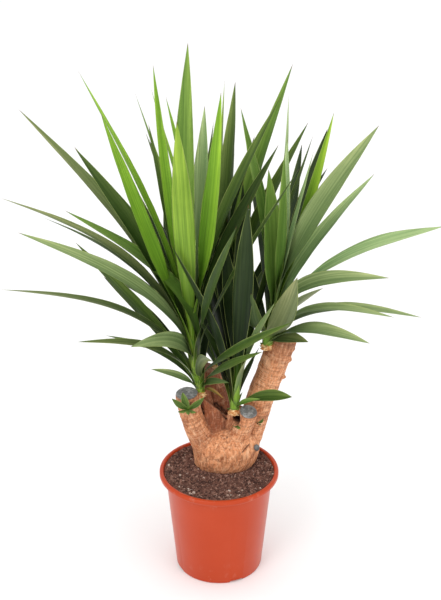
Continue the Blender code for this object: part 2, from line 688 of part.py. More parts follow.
def seat_of(sprout, trees):
    """Where the line of sight to the sprout's aim meets the bark, and the way that the bark faces there."""
    start = Vector(SEEN_FROM)
    way = (Vector(sprout.aim) * MM - start).normalized()
    hits = [tree.ray_cast(start, way) for tree in trees]
    hit, normal, _, _ = min((found for found in hits if found[0]), key=lambda found: found[3])
    return hit, normal


def stalk(name, seat, normal, grow=0.0, reach=2.2 * MM):
    """A short plug through the bark, which carries a sprout or cuts its hole."""
    foot, head = seat - normal * (STALK_SUNK + grow), seat + normal * reach
    ends = [(*(end / MM), (STALK_R + grow) / MM) for end in (foot, head)]
    return object_from_bmesh(name, tube(name, ends, 8))


def sprout_leaves(sprout, seat, normal):
    root = seat + normal * 1.2 * MM
    return [Leaf(root, normal, root + Vector(way).normalized() * length * MM, width * MM, 1.5 * MM)
            for way, length, width in sprout.leaves]


def make_sprout(sprout, seat, normal, finish):
    """A few short leaves that fan out from a stalk seated in the bark."""
    base = stalk(sprout.name, seat, normal)
    base.data.materials.append(finish)
    blades = [blade_object(f"{sprout.name}_blade_{i}", leaf, SPROUT_SECTIONS)
              for i, leaf in enumerate(sprout_leaves(sprout, seat, normal))]
    apply_boolean(base, "UNION", blades)
    fill_pockets(base)
    return base


def tree_of(bm):
    tree = BVHTree.FromBMesh(bm)
    bm.free()
    return tree


def place_leaves(wood, wax, seats):
    """All blades, each bent clear of what is there already: the listed ones from front to back, then the rest."""
    stems = {shoot.name: tree_of(stem_mesh(shoot)) for shoot in SHOOTS}
    leaves = {shoot.name: [] for shoot in SHOOTS}
    others = [placed(sprout.name, leaf) for sprout in SPROUTS for leaf in sprout_leaves(sprout, *seats[sprout.name])]
    front_first = sorted(((shoot, *job) for shoot in SHOOTS for job in listed(shoot)), key=lambda job: job[2].tip[1])
    for shoot, up, blade in front_first + [(shoot, *job) for shoot in SHOOTS for job in filled(shoot)]:
        stem = Stem(shoot.stem)
        share = shoot.leafy[0] + (shoot.leafy[1] - shoot.leafy[0]) * up
        solids = wood + wax + [tree for name, tree in stems.items() if name != shoot.name]
        draw = random.Random(f"{SEED} {shoot.name} {up:.4f} {blade.width:.2f}")
        leaf = bent_clear(shoot.name, stem.at(share), stem.axis(share), blade, others, solids, draw)
        if leaf is None:
            print("left out a blade of", shoot.name, "with its tip at", blade.tip)
            continue
        others.append(placed(shoot.name, leaf))
        leaves[shoot.name].append(leaf)
    return leaves


def main():
    clear_scene()
    terracotta = material("terracotta_plastic", (0.62, 0.13, 0.055), 0.42)
    peat = material("peat", (0.060, 0.036, 0.027), 0.95)
    bark = material("bark", (0.46, 0.23, 0.11), 0.85)
    wax = material("grey_wax", (0.13, 0.13, 0.125), 0.55)
    green = material("leaf_green", (0.075, 0.20, 0.035), 0.45)

    wood = [tree_of(stump_guide())] + [tree_of(limb_guide(limb)) for limb in LIMBS]
    seats = {sprout.name: seat_of(sprout, wood) for sprout in SPROUTS}
    make_pot(terracotta)
    make_soil(root_cutter(), peat)
    make_trunk(seats, bark)
    limbs = {limb.name: limb for limb in LIMBS}
    for name, radius in WAX:
        object_from_bmesh("wax_" + name, wax_guide(limbs[name], radius), wax)
    for sprout in SPROUTS:
        make_sprout(sprout, *seats[sprout.name], green)
    discs = [tree_of(wax_guide(limbs[name], radius)) for name, radius in WAX]
    leaves = place_leaves(wood, discs, seats)
    for shoot in SHOOTS:
        make_shoot(shoot, leaves[shoot.name], green)
        print(shoot.name, len(leaves[shoot.name]), "blades")


main()
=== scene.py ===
# %% [markdown]
# # A potted yucca
# This notebook dresses the plain model of a house plant: a sawn-off, branching cane in a plastic nursery pot, with
# four leafy shoots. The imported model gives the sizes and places. Each step below makes one part of the plant as a
# finer piece in the same place, and then gives it a finish made of nodes. Everything is in metres, with +Z up, +X to
# the right and +Y to the back, and the origin is the middle of the pot's foot.

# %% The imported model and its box
import math
import random
from collections import namedtuple

import bmesh
import bpy
from mathutils import Matrix, Vector, noise
from mathutils.bvhtree import BVHTree


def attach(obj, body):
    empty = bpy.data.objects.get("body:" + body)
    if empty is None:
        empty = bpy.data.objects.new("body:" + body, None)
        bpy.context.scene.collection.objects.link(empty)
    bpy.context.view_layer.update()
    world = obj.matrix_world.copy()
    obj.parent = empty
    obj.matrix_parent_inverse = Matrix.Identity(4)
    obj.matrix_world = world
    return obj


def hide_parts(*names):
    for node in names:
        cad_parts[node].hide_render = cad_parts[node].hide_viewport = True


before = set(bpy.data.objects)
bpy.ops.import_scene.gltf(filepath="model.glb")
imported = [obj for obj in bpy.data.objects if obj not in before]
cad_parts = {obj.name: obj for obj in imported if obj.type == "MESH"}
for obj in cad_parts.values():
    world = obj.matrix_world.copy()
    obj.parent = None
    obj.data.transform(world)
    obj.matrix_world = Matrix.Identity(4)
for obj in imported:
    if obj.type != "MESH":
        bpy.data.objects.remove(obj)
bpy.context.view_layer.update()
MM = 0.001
CM = 0.01

# %% [markdown]
# ## Camera and light
# The camera stands 2.3 m in front of the plant and 1.7 m up, and looks about 26 degrees down, as in the photograph.
# A long lens keeps the pot's sides nearly upright. A white world gives the soft light of a white studio, and three
# large lamps add a gentle direction to it: their size keeps every shadow soft. The Standard view shows white as pure
# white and keeps colours as strong as a studio picture has them.

# %% Camera, lamps and floor
CAMERA_AT = (0.003, -2.3, 1.709)
CAMERA_TILT_DEG = 64.2
LENS_MM = 80.88
SENSOR_MM = 36
WORLD_STRENGTH = 1.1
FLOOR_SIZE = 30
FLOOR_GREY = 0.93
# name, place, aim, width in metres and power in watts
LAMPS = [("key", (-1.3, -2.1, 2.6), (0, 0, 0.5), 1.3, 26),
         ("fill", (1.7, -1.7, 1.9), (0, 0, 0.4), 1.4, 9),
         ("top", (0.1, 0.3, 2.9), (0, 0.1, 0.6), 1.2, 6)]


def object_of(name, data):
    """A new object that shows the mesh, curve, camera or lamp."""
    obj = bpy.data.objects.new(name, data)
    bpy.context.scene.collection.objects.link(obj)
    return obj


def add_camera():
    camera = object_of("camera", bpy.data.cameras.new("camera"))
    camera.location = CAMERA_AT
    camera.rotation_euler = (math.radians(CAMERA_TILT_DEG), 0, 0)
    camera.data.lens = LENS_MM
    camera.data.sensor_width = SENSOR_MM
    bpy.context.scene.camera = camera


def add_lamp(name, place, aim, size, power):
    lamp = object_of(name, bpy.data.lights.new(name, "AREA"))
    lamp.data.size = size
    lamp.data.energy = power
    lamp.location = place
    lamp.rotation_euler = (Vector(aim) - Vector(place)).to_track_quat("-Z", "Y").to_euler()


def add_world():
    world = bpy.data.worlds.new("white_room")
    world.use_nodes = True
    background = world.node_tree.nodes["Background"]
    background.inputs["Color"].default_value = (1, 1, 1, 1)
    background.inputs["Strength"].default_value = WORLD_STRENGTH
    bpy.context.scene.world = world


def add_floor():
    bpy.ops.mesh.primitive_plane_add(size=FLOOR_SIZE)
    floor = bpy.context.active_object
    floor.name = "floor"
    paint = bpy.data.materials.new("floor_paint")
    paint.use_nodes = True
    shader = paint.node_tree.nodes["Principled BSDF"]
    shader.inputs["Base Color"].default_value = (FLOOR_GREY, FLOOR_GREY, FLOOR_GREY, 1)
    shader.inputs["Roughness"].default_value = 0.7
    floor.data.materials.append(paint)


add_camera()
add_world()
for lamp in LAMPS:
    add_lamp(*lamp)
add_floor()
bpy.context.scene.view_settings.view_transform = "Standard"
print("camera at", CAMERA_AT, "with", len(LAMPS), "lamps")

# %% [markdown]
# ## Short calls for node trees
# Materials and Geometry Nodes trees are both built from nodes and links. A small helper class keeps the later cells
# readable: a call adds a node, gives its inputs either a plain value or a link, and hands back its output.

# %% A sketchpad for node trees


class Sketch:
    """A node tree with one short call for each kind of node that is used often."""

    def __init__(self, tree):
        self.tree = tree

    def add(self, kind, inputs=None, **settings):
        made = self.tree.nodes.new(kind)
        for name, value in settings.items():
            setattr(made, name, value)
        for name, value in (inputs or {}).items():
            self.feed(made.inputs[name], value)
        return made

    def geo(self, kind, inputs=None, **settings):
        """The first output of a new geometry node."""
        return self.add("GeometryNode" + kind, inputs, **settings).outputs[0]

    def feed(self, socket, value):
        if isinstance(value, bpy.types.NodeSocket):
            self.tree.links.new(value, socket)
        else:
            socket.default_value = value

    def math(self, operation, *values, clamp=False):
        return self.add("ShaderNodeMath", dict(enumerate(values)), operation=operation, use_clamp=clamp).outputs[0]

    def times(self, a, b):
        return self.math("MULTIPLY", a, b)

    def plus(self, a, b):
        return self.math("ADD", a, b)

    def minus(self, a, b, clamp=False):
        return self.math("SUBTRACT", a, b, clamp=clamp)

    def vector(self, operation, *values, output="Vector"):
        return self.add("ShaderNodeVectorMath", dict(enumerate(values)), operation=operation).outputs[output]

    def by(self, vector, factors):
        """Each part of the vector times its own factor."""
        return self.vector("MULTIPLY", vector, factors)

    def length(self, vector):
        return self.vector("LENGTH", vector, output="Value")

    def scaled(self, vector, factor):
        return self.add("ShaderNodeVectorMath", {0: vector, "Scale": factor}, operation="SCALE").outputs["Vector"]

    def xyz(self, x, y, z):
        return self.add("ShaderNodeCombineXYZ", {0: x, 1: y, 2: z}).outputs[0]

    def height(self, place):
        return self.add("ShaderNodeSeparateXYZ", {0: place}).outputs["Z"]

    def span(self, value, low, high, to_low=0.0, to_high=1.0, ease="LINEAR"):
        inputs = {0: value, 1: low, 2: high, 3: to_low, 4: to_high}
        return self.add("ShaderNodeMapRange", inputs, interpolation_type=ease).outputs[0]

    def noise(self, vector, scale, detail=2.0, roughness=0.5):
        inputs = {"Vector": vector, "Scale": scale, "Detail": detail, "Roughness": roughness}
        return self.add("ShaderNodeTexNoise", inputs).outputs["Fac"]

    def swing(self, vector, scale, detail=2.0, roughness=0.5):
        """Noise that swings about zero."""
        return self.minus(self.noise(vector, scale, detail, roughness), 0.5)

    def blend(self, factor, a, b, mode="MIX"):
        return self.add("ShaderNodeMix", {0: factor, 6: a, 7: b}, data_type="RGBA", blend_type=mode,
                        clamp_factor=True).outputs[2]

    def attribute(self, name, output="Fac"):
        """What the mesh stores under this name, for a finish."""
        return self.add("ShaderNodeAttribute", attribute_name=name).outputs[output]

    def group(self, name, inputs):
        """The outputs of a new node that runs the group of this name."""
        kind = "ShaderNodeGroup" if self.tree.type == "SHADER" else "GeometryNodeGroup"
        made = self.add(kind, node_tree=bpy.data.node_groups[name])
        for label, value in inputs.items():
            self.feed(made.inputs[label], value)
        return made.outputs

    def patches(self, vector, scale, low, high, colour, patch_colour, amount=1.0):
        return self.group("patches", {"Vector": vector, "Scale": scale, "Low": low, "High": high, "Colour": colour,
                                      "Patch Colour": patch_colour, "Amount": amount})

    def grain(self, shader, vector, across, along, depth, strength=0.6):
        """Gives the shader's normal a fine grain."""
        made = self.group("grain", {"Vector": vector, "Across": across, "Along": along, "Depth": depth,
                                    "Strength": strength})
        self.feed(shader.inputs["Normal"], made["Normal"])


def new_tree(name, kind, inputs, outputs):
    """A node group with sockets given as {label: default}. A word instead of a default names the socket's type."""
    tree = bpy.data.node_groups.new(name, kind)
    types = {float: "Float", int: "Int", tuple: "Color"}
    for way, sockets in (("INPUT", inputs), ("OUTPUT", outputs)):
        for label, value in sockets.items():
            is_word = isinstance(value, str)
            socket_type = "NodeSocket" + (value if is_word else types[type(value)])
            socket = tree.interface.new_socket(label, in_out=way, socket_type=socket_type)
            if not is_word:
                socket.default_value = value
    pad = Sketch(tree)
    return pad, pad.add("NodeGroupInput").outputs, pad.add("NodeGroupOutput").inputs


# %% [markdown]
# ## Shared finishes
# Two effects turn up on almost every surface here. Nothing natural has one even colour, so "patches" mixes two
# colours by cloudy noise. And no surface is quite smooth, so "grain" turns stretched noise into a bump normal:
# squeezed lengthwise it gives fibres, and left even it gives a fine skin.

# %% Node groups for patches and grain


def make_patches_group():
    pad, inputs, outputs = new_tree(
        "patches", "ShaderNodeTree",
        {"Vector": "Vector", "Scale": 20.0, "Low": 0.35, "High": 0.65, "Colour": (1, 1, 1, 1),
         "Patch Colour": (0.5, 0.5, 0.5, 1), "Amount": 1.0},
        {"Colour": "Color", "Mask": "Float"})
    cloud = pad.noise(inputs["Vector"], inputs["Scale"], 4.0, 0.6)
    mask = pad.times(pad.span(cloud, inputs["Low"], inputs["High"], ease="SMOOTHSTEP"), inputs["Amount"])
    pad.feed(outputs["Colour"], pad.blend(mask, inputs["Colour"], inputs["Patch Colour"]))
    pad.feed(outputs["Mask"], mask)


def make_grain_group():
    pad, inputs, outputs = new_tree(
        "grain", "ShaderNodeTree",
        {"Vector": "Vector", "Across": 900.0, "Along": 900.0, "Depth": 0.3 * MM, "Strength": 0.6, "Detail": 3.0},
        {"Normal": "Vector", "Height": "Float"})
    stretch = pad.xyz(inputs["Across"], inputs["Across"], inputs["Along"])
    height = pad.noise(pad.by(inputs["Vector"], stretch), 1.0, inputs["Detail"], 0.62)
    bump = pad.add("ShaderNodeBump", {"Strength": inputs["Strength"], "Distance": inputs["Depth"], "Height": height})
    pad.feed(outputs["Normal"], bump.outputs["Normal"])
    pad.feed(outputs["Height"], height)


def new_finish(name, roughness, specular=0.5):
    """A material with its node tree as a sketchpad, its Principled shader and its Object coordinates."""
    material = bpy.data.materials.new(name)
    material.use_nodes = True
    pad = Sketch(material.node_tree)
    shader = material.node_tree.nodes["Principled BSDF"]
    shader.inputs["Roughness"].default_value = roughness
    shader.inputs["Specular IOR Level"].default_value = specular
    place = pad.add("ShaderNodeTexCoord").outputs["Object"]
    return material, pad, shader, place


def rgb(red, green, blue):
    return (red, green, blue, 1.0)


make_patches_group()
make_grain_group()
print("shared node groups:", [group.name for group in bpy.data.node_groups])

# %% [markdown]
# ## The pot
# The pot is a thin moulded nursery pot with a hooked collar. A turned shape is a profile and a Screw modifier, as in
# the plain model, but with enough steps to look round from close by. Drain holes and the notches in the foot are cut
# with a Boolean. Its plastic is even, with a faint orange-peel skin, a little dust and pale scuffs low down.

# %% Turned pot with drain holes and foot notches
RIM_R = 120 * MM
POT_H = 220 * MM
WALL = 1.8 * MM
BODY_TOP_R = 106.5 * MM
BODY_TOP_Z = 201 * MM
BODY_FOOT_R = 88 * MM
FOOT_RING_R = 81 * MM
FLOOR_Z = 5 * MM
PAD_R = 27 * MM
COLLAR_R = 110.5 * MM
COLLAR_Z = 208 * MM
POT_STEPS = 144
SHARP_ANGLE = math.radians(35)
DRAIN_HOLES = 8
DRAIN_HOLE_R = 6 * MM
DRAIN_RING_R = 54 * MM
DRAIN_CUT_H = 8 * MM
NOTCHES = 4
NOTCH_W = 28 * MM
NOTCH_H = 4.6 * MM
NOTCH_CUT = 16 * MM
NOTCH_FIRST_DEG = -66


def pot_profile():
    """(radius, height) from the middle of the floor inside, over the collar and down the outside to the foot."""
    inside_foot = BODY_FOOT_R - WALL - 3 * MM
    inside_top = BODY_TOP_R - WALL
    return [
        (0, 2 * MM), (PAD_R, 2 * MM), (PAD_R + FLOOR_Z, FLOOR_Z + 2 * MM), (inside_foot, FLOOR_Z + 2 * MM),
        (BODY_FOOT_R - WALL, FLOOR_Z + 7 * MM), (inside_top, BODY_TOP_Z),
        (inside_top + 1.4 * MM, BODY_TOP_Z + 3.4 * MM), (COLLAR_R - 0.8 * MM, COLLAR_Z),
        (COLLAR_R, COLLAR_Z + 1.2 * MM), (COLLAR_R + 0.7 * MM, POT_H - 3 * MM),
        (COLLAR_R + 2.4 * MM, POT_H - 0.6 * MM), (COLLAR_R + 4.4 * MM, POT_H),
        (RIM_R - 3.4 * MM, POT_H - 0.2 * MM), (RIM_R - 1.5 * MM, POT_H - 0.9 * MM),
        (RIM_R - 0.4 * MM, POT_H - 2.2 * MM), (RIM_R, POT_H - 3.8 * MM), (RIM_R, POT_H - 8.5 * MM),
        (RIM_R - 0.7 * MM, POT_H - 9.5 * MM), (RIM_R - 1.7 * MM, POT_H - 8.9 * MM),
        (RIM_R - 1.9 * MM, POT_H - 4 * MM), (COLLAR_R + 3.6 * MM, POT_H - 2.6 * MM),
        (COLLAR_R + 1.8 * MM, COLLAR_Z - 0.3 * MM), (BODY_TOP_R + 1.6 * MM, BODY_TOP_Z + 2.8 * MM),
        (BODY_TOP_R, BODY_TOP_Z - 2.5 * MM), (BODY_FOOT_R, 4 * MM), (BODY_FOOT_R - 0.9 * MM, 1.2 * MM),
        (BODY_FOOT_R - 2.6 * MM, 0), (FOOT_RING_R, 0), (FOOT_RING_R - 1.5 * MM, FLOOR_Z),
        (PAD_R + FLOOR_Z + 1.6 * MM, FLOOR_Z), (PAD_R + 1.6 * MM, 0), (0, 0),
    ]


def evaluated_mesh(obj):
    """The object's mesh with its modifiers applied."""
    bpy.context.view_layer.update()
    graph = bpy.context.evaluated_depsgraph_get()
    return bpy.data.meshes.new_from_object(obj.evaluated_get(graph))


def apply_modifiers(obj):
    mesh = evaluated_mesh(obj)
    obj.modifiers.clear()
    obj.data = mesh


def line_object(name, points, edges):
    """An object of bare points and edges."""
    mesh = bpy.data.meshes.new(name)
    mesh.from_pydata(points, edges, [])
    return object_of(name, mesh)


def chained(first, count):
    """The edges that join points in a row, from the point with the number first onwards."""
    return [(i, i + 1) for i in range(first, first + count - 1)]


def turned(name, profile, steps):
    """A profile turned about the Z axis by a Screw modifier, with its faces pointing outwards."""
    obj = line_object(name, [(r, 0, z) for r, z in profile], chained(0, len(profile)))
    screw = obj.modifiers.new("turn", "SCREW")
    screw.steps = screw.render_steps = steps
    screw.use_merge_vertices = True
    screw.merge_threshold = 0.00001
    apply_modifiers(obj)
    bm = bmesh.new()
    bm.from_mesh(obj.data)
    bmesh.ops.recalc_face_normals(bm, faces=bm.faces)
    bm.to_mesh(obj.data)
    bm.free()
    return obj


def pot_cutters():
    cutters = []
    for i in range(DRAIN_HOLES):
        turn = 2 * math.pi * i / DRAIN_HOLES
        bpy.ops.mesh.primitive_cylinder_add(
            vertices=32, radius=DRAIN_HOLE_R, depth=DRAIN_CUT_H,
            location=(DRAIN_RING_R * math.cos(turn), DRAIN_RING_R * math.sin(turn), FLOOR_Z + 1 * MM))
        cutters.append(bpy.context.active_object)
    for i in range(NOTCHES):
        turn = math.radians(NOTCH_FIRST_DEG + 360 * i / NOTCHES)
        bpy.ops.mesh.primitive_cube_add(size=1)
        notch = bpy.context.active_object
        notch.data.transform(Matrix.Diagonal((NOTCH_CUT, NOTCH_W, 2 * NOTCH_H, 1)))
        notch.location = (BODY_FOOT_R * math.cos(turn), BODY_FOOT_R * math.sin(turn), 0)
        notch.rotation_euler.z = turn
        cutters.append(notch)
    return cutters


def cut_with(obj, cutters):
    holder = bpy.data.collections.new(obj.name + "_cutters")
    for cutter in cutters:
        holder.objects.link(cutter)
    modifier = obj.modifiers.new("cut", "BOOLEAN")
    modifier.operand_type = "COLLECTION"
    modifier.collection = holder
    apply_modifiers(obj)
    for cutter in cutters:
        bpy.data.objects.remove(cutter, do_unlink=True)
    bpy.data.collections.remove(holder)


def pot_plastic():
    material, pad, shader, place = new_finish("pot_plastic", 0.30, 0.21)
    height = pad.height(place)
    clouds = pad.patches(place, 11.0, 0.3, 0.75, rgb(0.455, 0.047, 0.009), rgb(0.478, 0.054, 0.013))
    low_down = pad.span(height, 0.06, 0.0, 0.0, 0.30)
    under_rim = pad.span(height, 0.188, 0.204, 0.0, 0.30)
    dusty = pad.patches(pad.by(place, (1, 1, 0.6)), 60.0, 0.54, 0.76, clouds["Colour"], rgb(0.60, 0.30, 0.22),
                        pad.math("MAXIMUM", low_down, under_rim))
    scuffs = pad.patches(pad.by(place, (1, 1, 1.4)), 95.0, 0.745, 0.80, dusty["Colour"], rgb(0.62, 0.28, 0.18), 0.6)
    pad.feed(shader.inputs["Base Color"], scuffs["Colour"])
    worn = pad.math("MAXIMUM", dusty["Mask"], scuffs["Mask"])
    pad.feed(shader.inputs["Roughness"], pad.span(worn, 0.0, 1.0, 0.30, 0.60))
    pad.grain(shader, place, 900.0, 900.0, 0.05 * MM, 0.35)
    return material


def seat(piece, slot, *nodes):
    """The piece rides on the plant's one body and stands for these nodes, whose plain parts are hidden. The slot is
    not used.
    """
    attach(piece, "root")
    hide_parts(*nodes)
    piece.data.calc_loop_triangles()
    print(f"{piece.name}: {len(piece.data.loop_triangles)} triangles")


pot = turned("nursery_pot", pot_profile(), POT_STEPS)
cut_with(pot, pot_cutters())
pot.data.materials.append(pot_plastic())
pot.data.shade_smooth()
pot.data.set_sharp_from_angle(angle=SHARP_ANGLE)
seat(pot, "terracotta_plastic", "pot")

# %% [markdown]
# ## The trunk's skeleton
# The trunk is a swollen stump with six limbs that were sawn off. Each limb is described by a few points with a
# radius, and a smooth curve is read through them. The same rough tubes that shaped the plain model are also needed
# further on, to find where a sprout sits on the bark and to keep every leaf clear of the wood.

# %% Stump, limbs and the tubes round them
# Points along a limb are x, y, z and radius in millimetres. A cut has a place and the way that it faces.
STUMP = [(7, 36, 92, 20), (7, 36, 104, 33), (8, 36, 150, 43), (8, 36, 190, 47), (5, 37, 207, 49),
         (9, 38, 226, 57), (13, 40, 246, 61), (13, 39, 268, 59), (11, 38, 285, 49), (9, 37, 296, 35),
         (8, 37, 301, 16)]
STUMP_WIDTH = 1.12
STUMP_DEPTH = 0.94
STUMP_MIDDLE_X = 9 * MM
STUMP_MIDDLE_Y = 38 * MM
Limb = namedtuple("Limb", "name points sides cut_at cut_normal")
LIMBS = [
    Limb("left_stub", [(-8, 32, 232, 36), (-34, 28, 278, 27.5), (-51, 24, 318, 23), (-59, 21, 350, 22.5),
                       (-66, 19, 398, 23.5)], 16, (-64, 20, 382), (-0.08, -0.10, 0.99)),
    Limb("front_stub", [(18, 34, 248, 30), (38, 19, 288, 23), (51, 8, 325, 19.5), (62, -3, 366, 19)],
         14, (58, 0, 351), (0.14, -0.32, 0.94)),
    Limb("tall_cane", [(24, 44, 228, 30), (54, 48, 262, 30), (68, 50, 300, 28), (84, 50, 360, 27.5),
                       (107, 50, 430, 27.5), (132, 50, 510, 28)], 16, (127, 50, 495), (0.10, -0.02, 0.99)),
    Limb("oblique_stub", [(5, 42, 240, 32), (-4, 43, 290, 28), (-8, 43, 345, 27.5), (-11, 43, 395, 27)],
         14, (-7, 28, 345), (0.60, 0.42, 0.68)),
    Limb("rear_cane", [(8, 60, 240, 31), (-1, 71, 300, 28.5), (-12, 80, 360, 26.5), (-27, 89, 420, 23.5)],
         14, (-24, 87, 405), (0.30, 0.05, 0.95)),
    Limb("side_knot", [(58, 26, 254, 10), (70, 15, 260, 8.5), (82, 5, 265, 8)], 10, (75, 10, 262),
         (0.62, -0.64, 0.45)),
]
LIMB_RINGS = 9
STUMP_RINGS = 14
STUMP_SIDES = 22
BARK_RELIEF = 1.7 * MM
BROAD_BUMPS = 38
FINE_BUMPS = 95
BARK_STARTS_Z = 219 * MM
BARK_FULL_Z = 241 * MM


def smooth(t):
    t = min(1.0, max(0.0, t))
    return t * t * (3 - 2 * t)


def smooth_points(points, count):
    """count points read evenly from a smooth curve through the given (x, y, z, radius) points."""
    def at(i):
        return Vector(points[max(0, min(len(points) - 1, i))])
    read = []
    for k in range(count):
        place = (len(points) - 1) * k / (count - 1)
        i = min(int(place), len(points) - 2)
        t = place - i
        a, b, c, d = at(i - 1), at(i), at(i + 1), at(i + 2)
        read.append(tuple(0.5 * (2 * b + (c - a) * t + (2 * a - 5 * b + 4 * c - d) * t ** 2
                                 + (3 * b - a - 3 * c + d) * t ** 3)))
    return read


def tube(points, sides):
    """A closed tube with a changing radius along (x, y, z, radius) points in millimetres."""
    curve = bpy.data.curves.new("tube", "CURVE")
    curve.dimensions = "3D"
    curve.bevel_depth = 1.0
    curve.bevel_resolution = (sides - 4) // 2
    curve.use_fill_caps = True
    spline = curve.splines.new("POLY")
    spline.points.add(len(points) - 1)
    for point, (x, y, z, radius) in zip(spline.points, points):
        point.co = (x * MM, y * MM, z * MM, 1)
        point.radius = radius * MM
    guide = object_of("tube", curve)
    mesh = evaluated_mesh(guide)
    bpy.data.objects.remove(guide, do_unlink=True)
    bpy.data.curves.remove(curve)
    bm = bmesh.new()
    bm.from_mesh(mesh)
    bmesh.ops.remove_doubles(bm, verts=bm.verts, dist=1e-5)
    bpy.data.meshes.remove(mesh)
    return bm


def roughen_bark(bm):
    """Low bumps and scars on all that stands above the soil."""
    bm.normal_update()
    for vert in bm.verts:
        share = smooth((vert.co.z - BARK_STARTS_Z) / (BARK_FULL_Z - BARK_STARTS_Z))
        bump = noise.noise(vert.co * BROAD_BUMPS) + 0.5 * noise.noise(vert.co * FINE_BUMPS)
        vert.co += vert.normal * share * BARK_RELIEF * bump


def sawn_off(bm, geometry, limb):
    """Cuts the geometry with the limb's plane and closes the cut. Hands back the faces that close it."""
    cut = bmesh.ops.bisect_plane(bm, geom=geometry, plane_co=Vector(limb.cut_at) * MM,
                                 plane_no=Vector(limb.cut_normal), clear_outer=True)
    rim = [part for part in cut["geom_cut"] if isinstance(part, bmesh.types.BMEdge)]
    return bmesh.ops.contextual_create(bm, geom=rim)["faces"]


def broadened(place):
    """A point of the stump, which is broader across than from front to back."""
    return Vector((STUMP_MIDDLE_X + (place.x - STUMP_MIDDLE_X) * STUMP_WIDTH,
                   STUMP_MIDDLE_Y + (place.y - STUMP_MIDDLE_Y) * STUMP_DEPTH, place.z))


def stump_guide():
    bm = tube(smooth_points(STUMP, STUMP_RINGS), STUMP_SIDES)
    for vert in bm.verts:
        vert.co = broadened(vert.co)
    bmesh.ops.triangulate(bm, faces=bm.faces, quad_method="FIXED")
    roughen_bark(bm)
    return bm


def limb_guide(limb):
    bm = tube(smooth_points(limb.points, LIMB_RINGS), limb.sides)
    roughen_bark(bm)
    sawn_off(bm, bm.verts[:] + bm.edges[:] + bm.faces[:], limb)
    return bm


print("limbs:", [limb.name for limb in LIMBS])
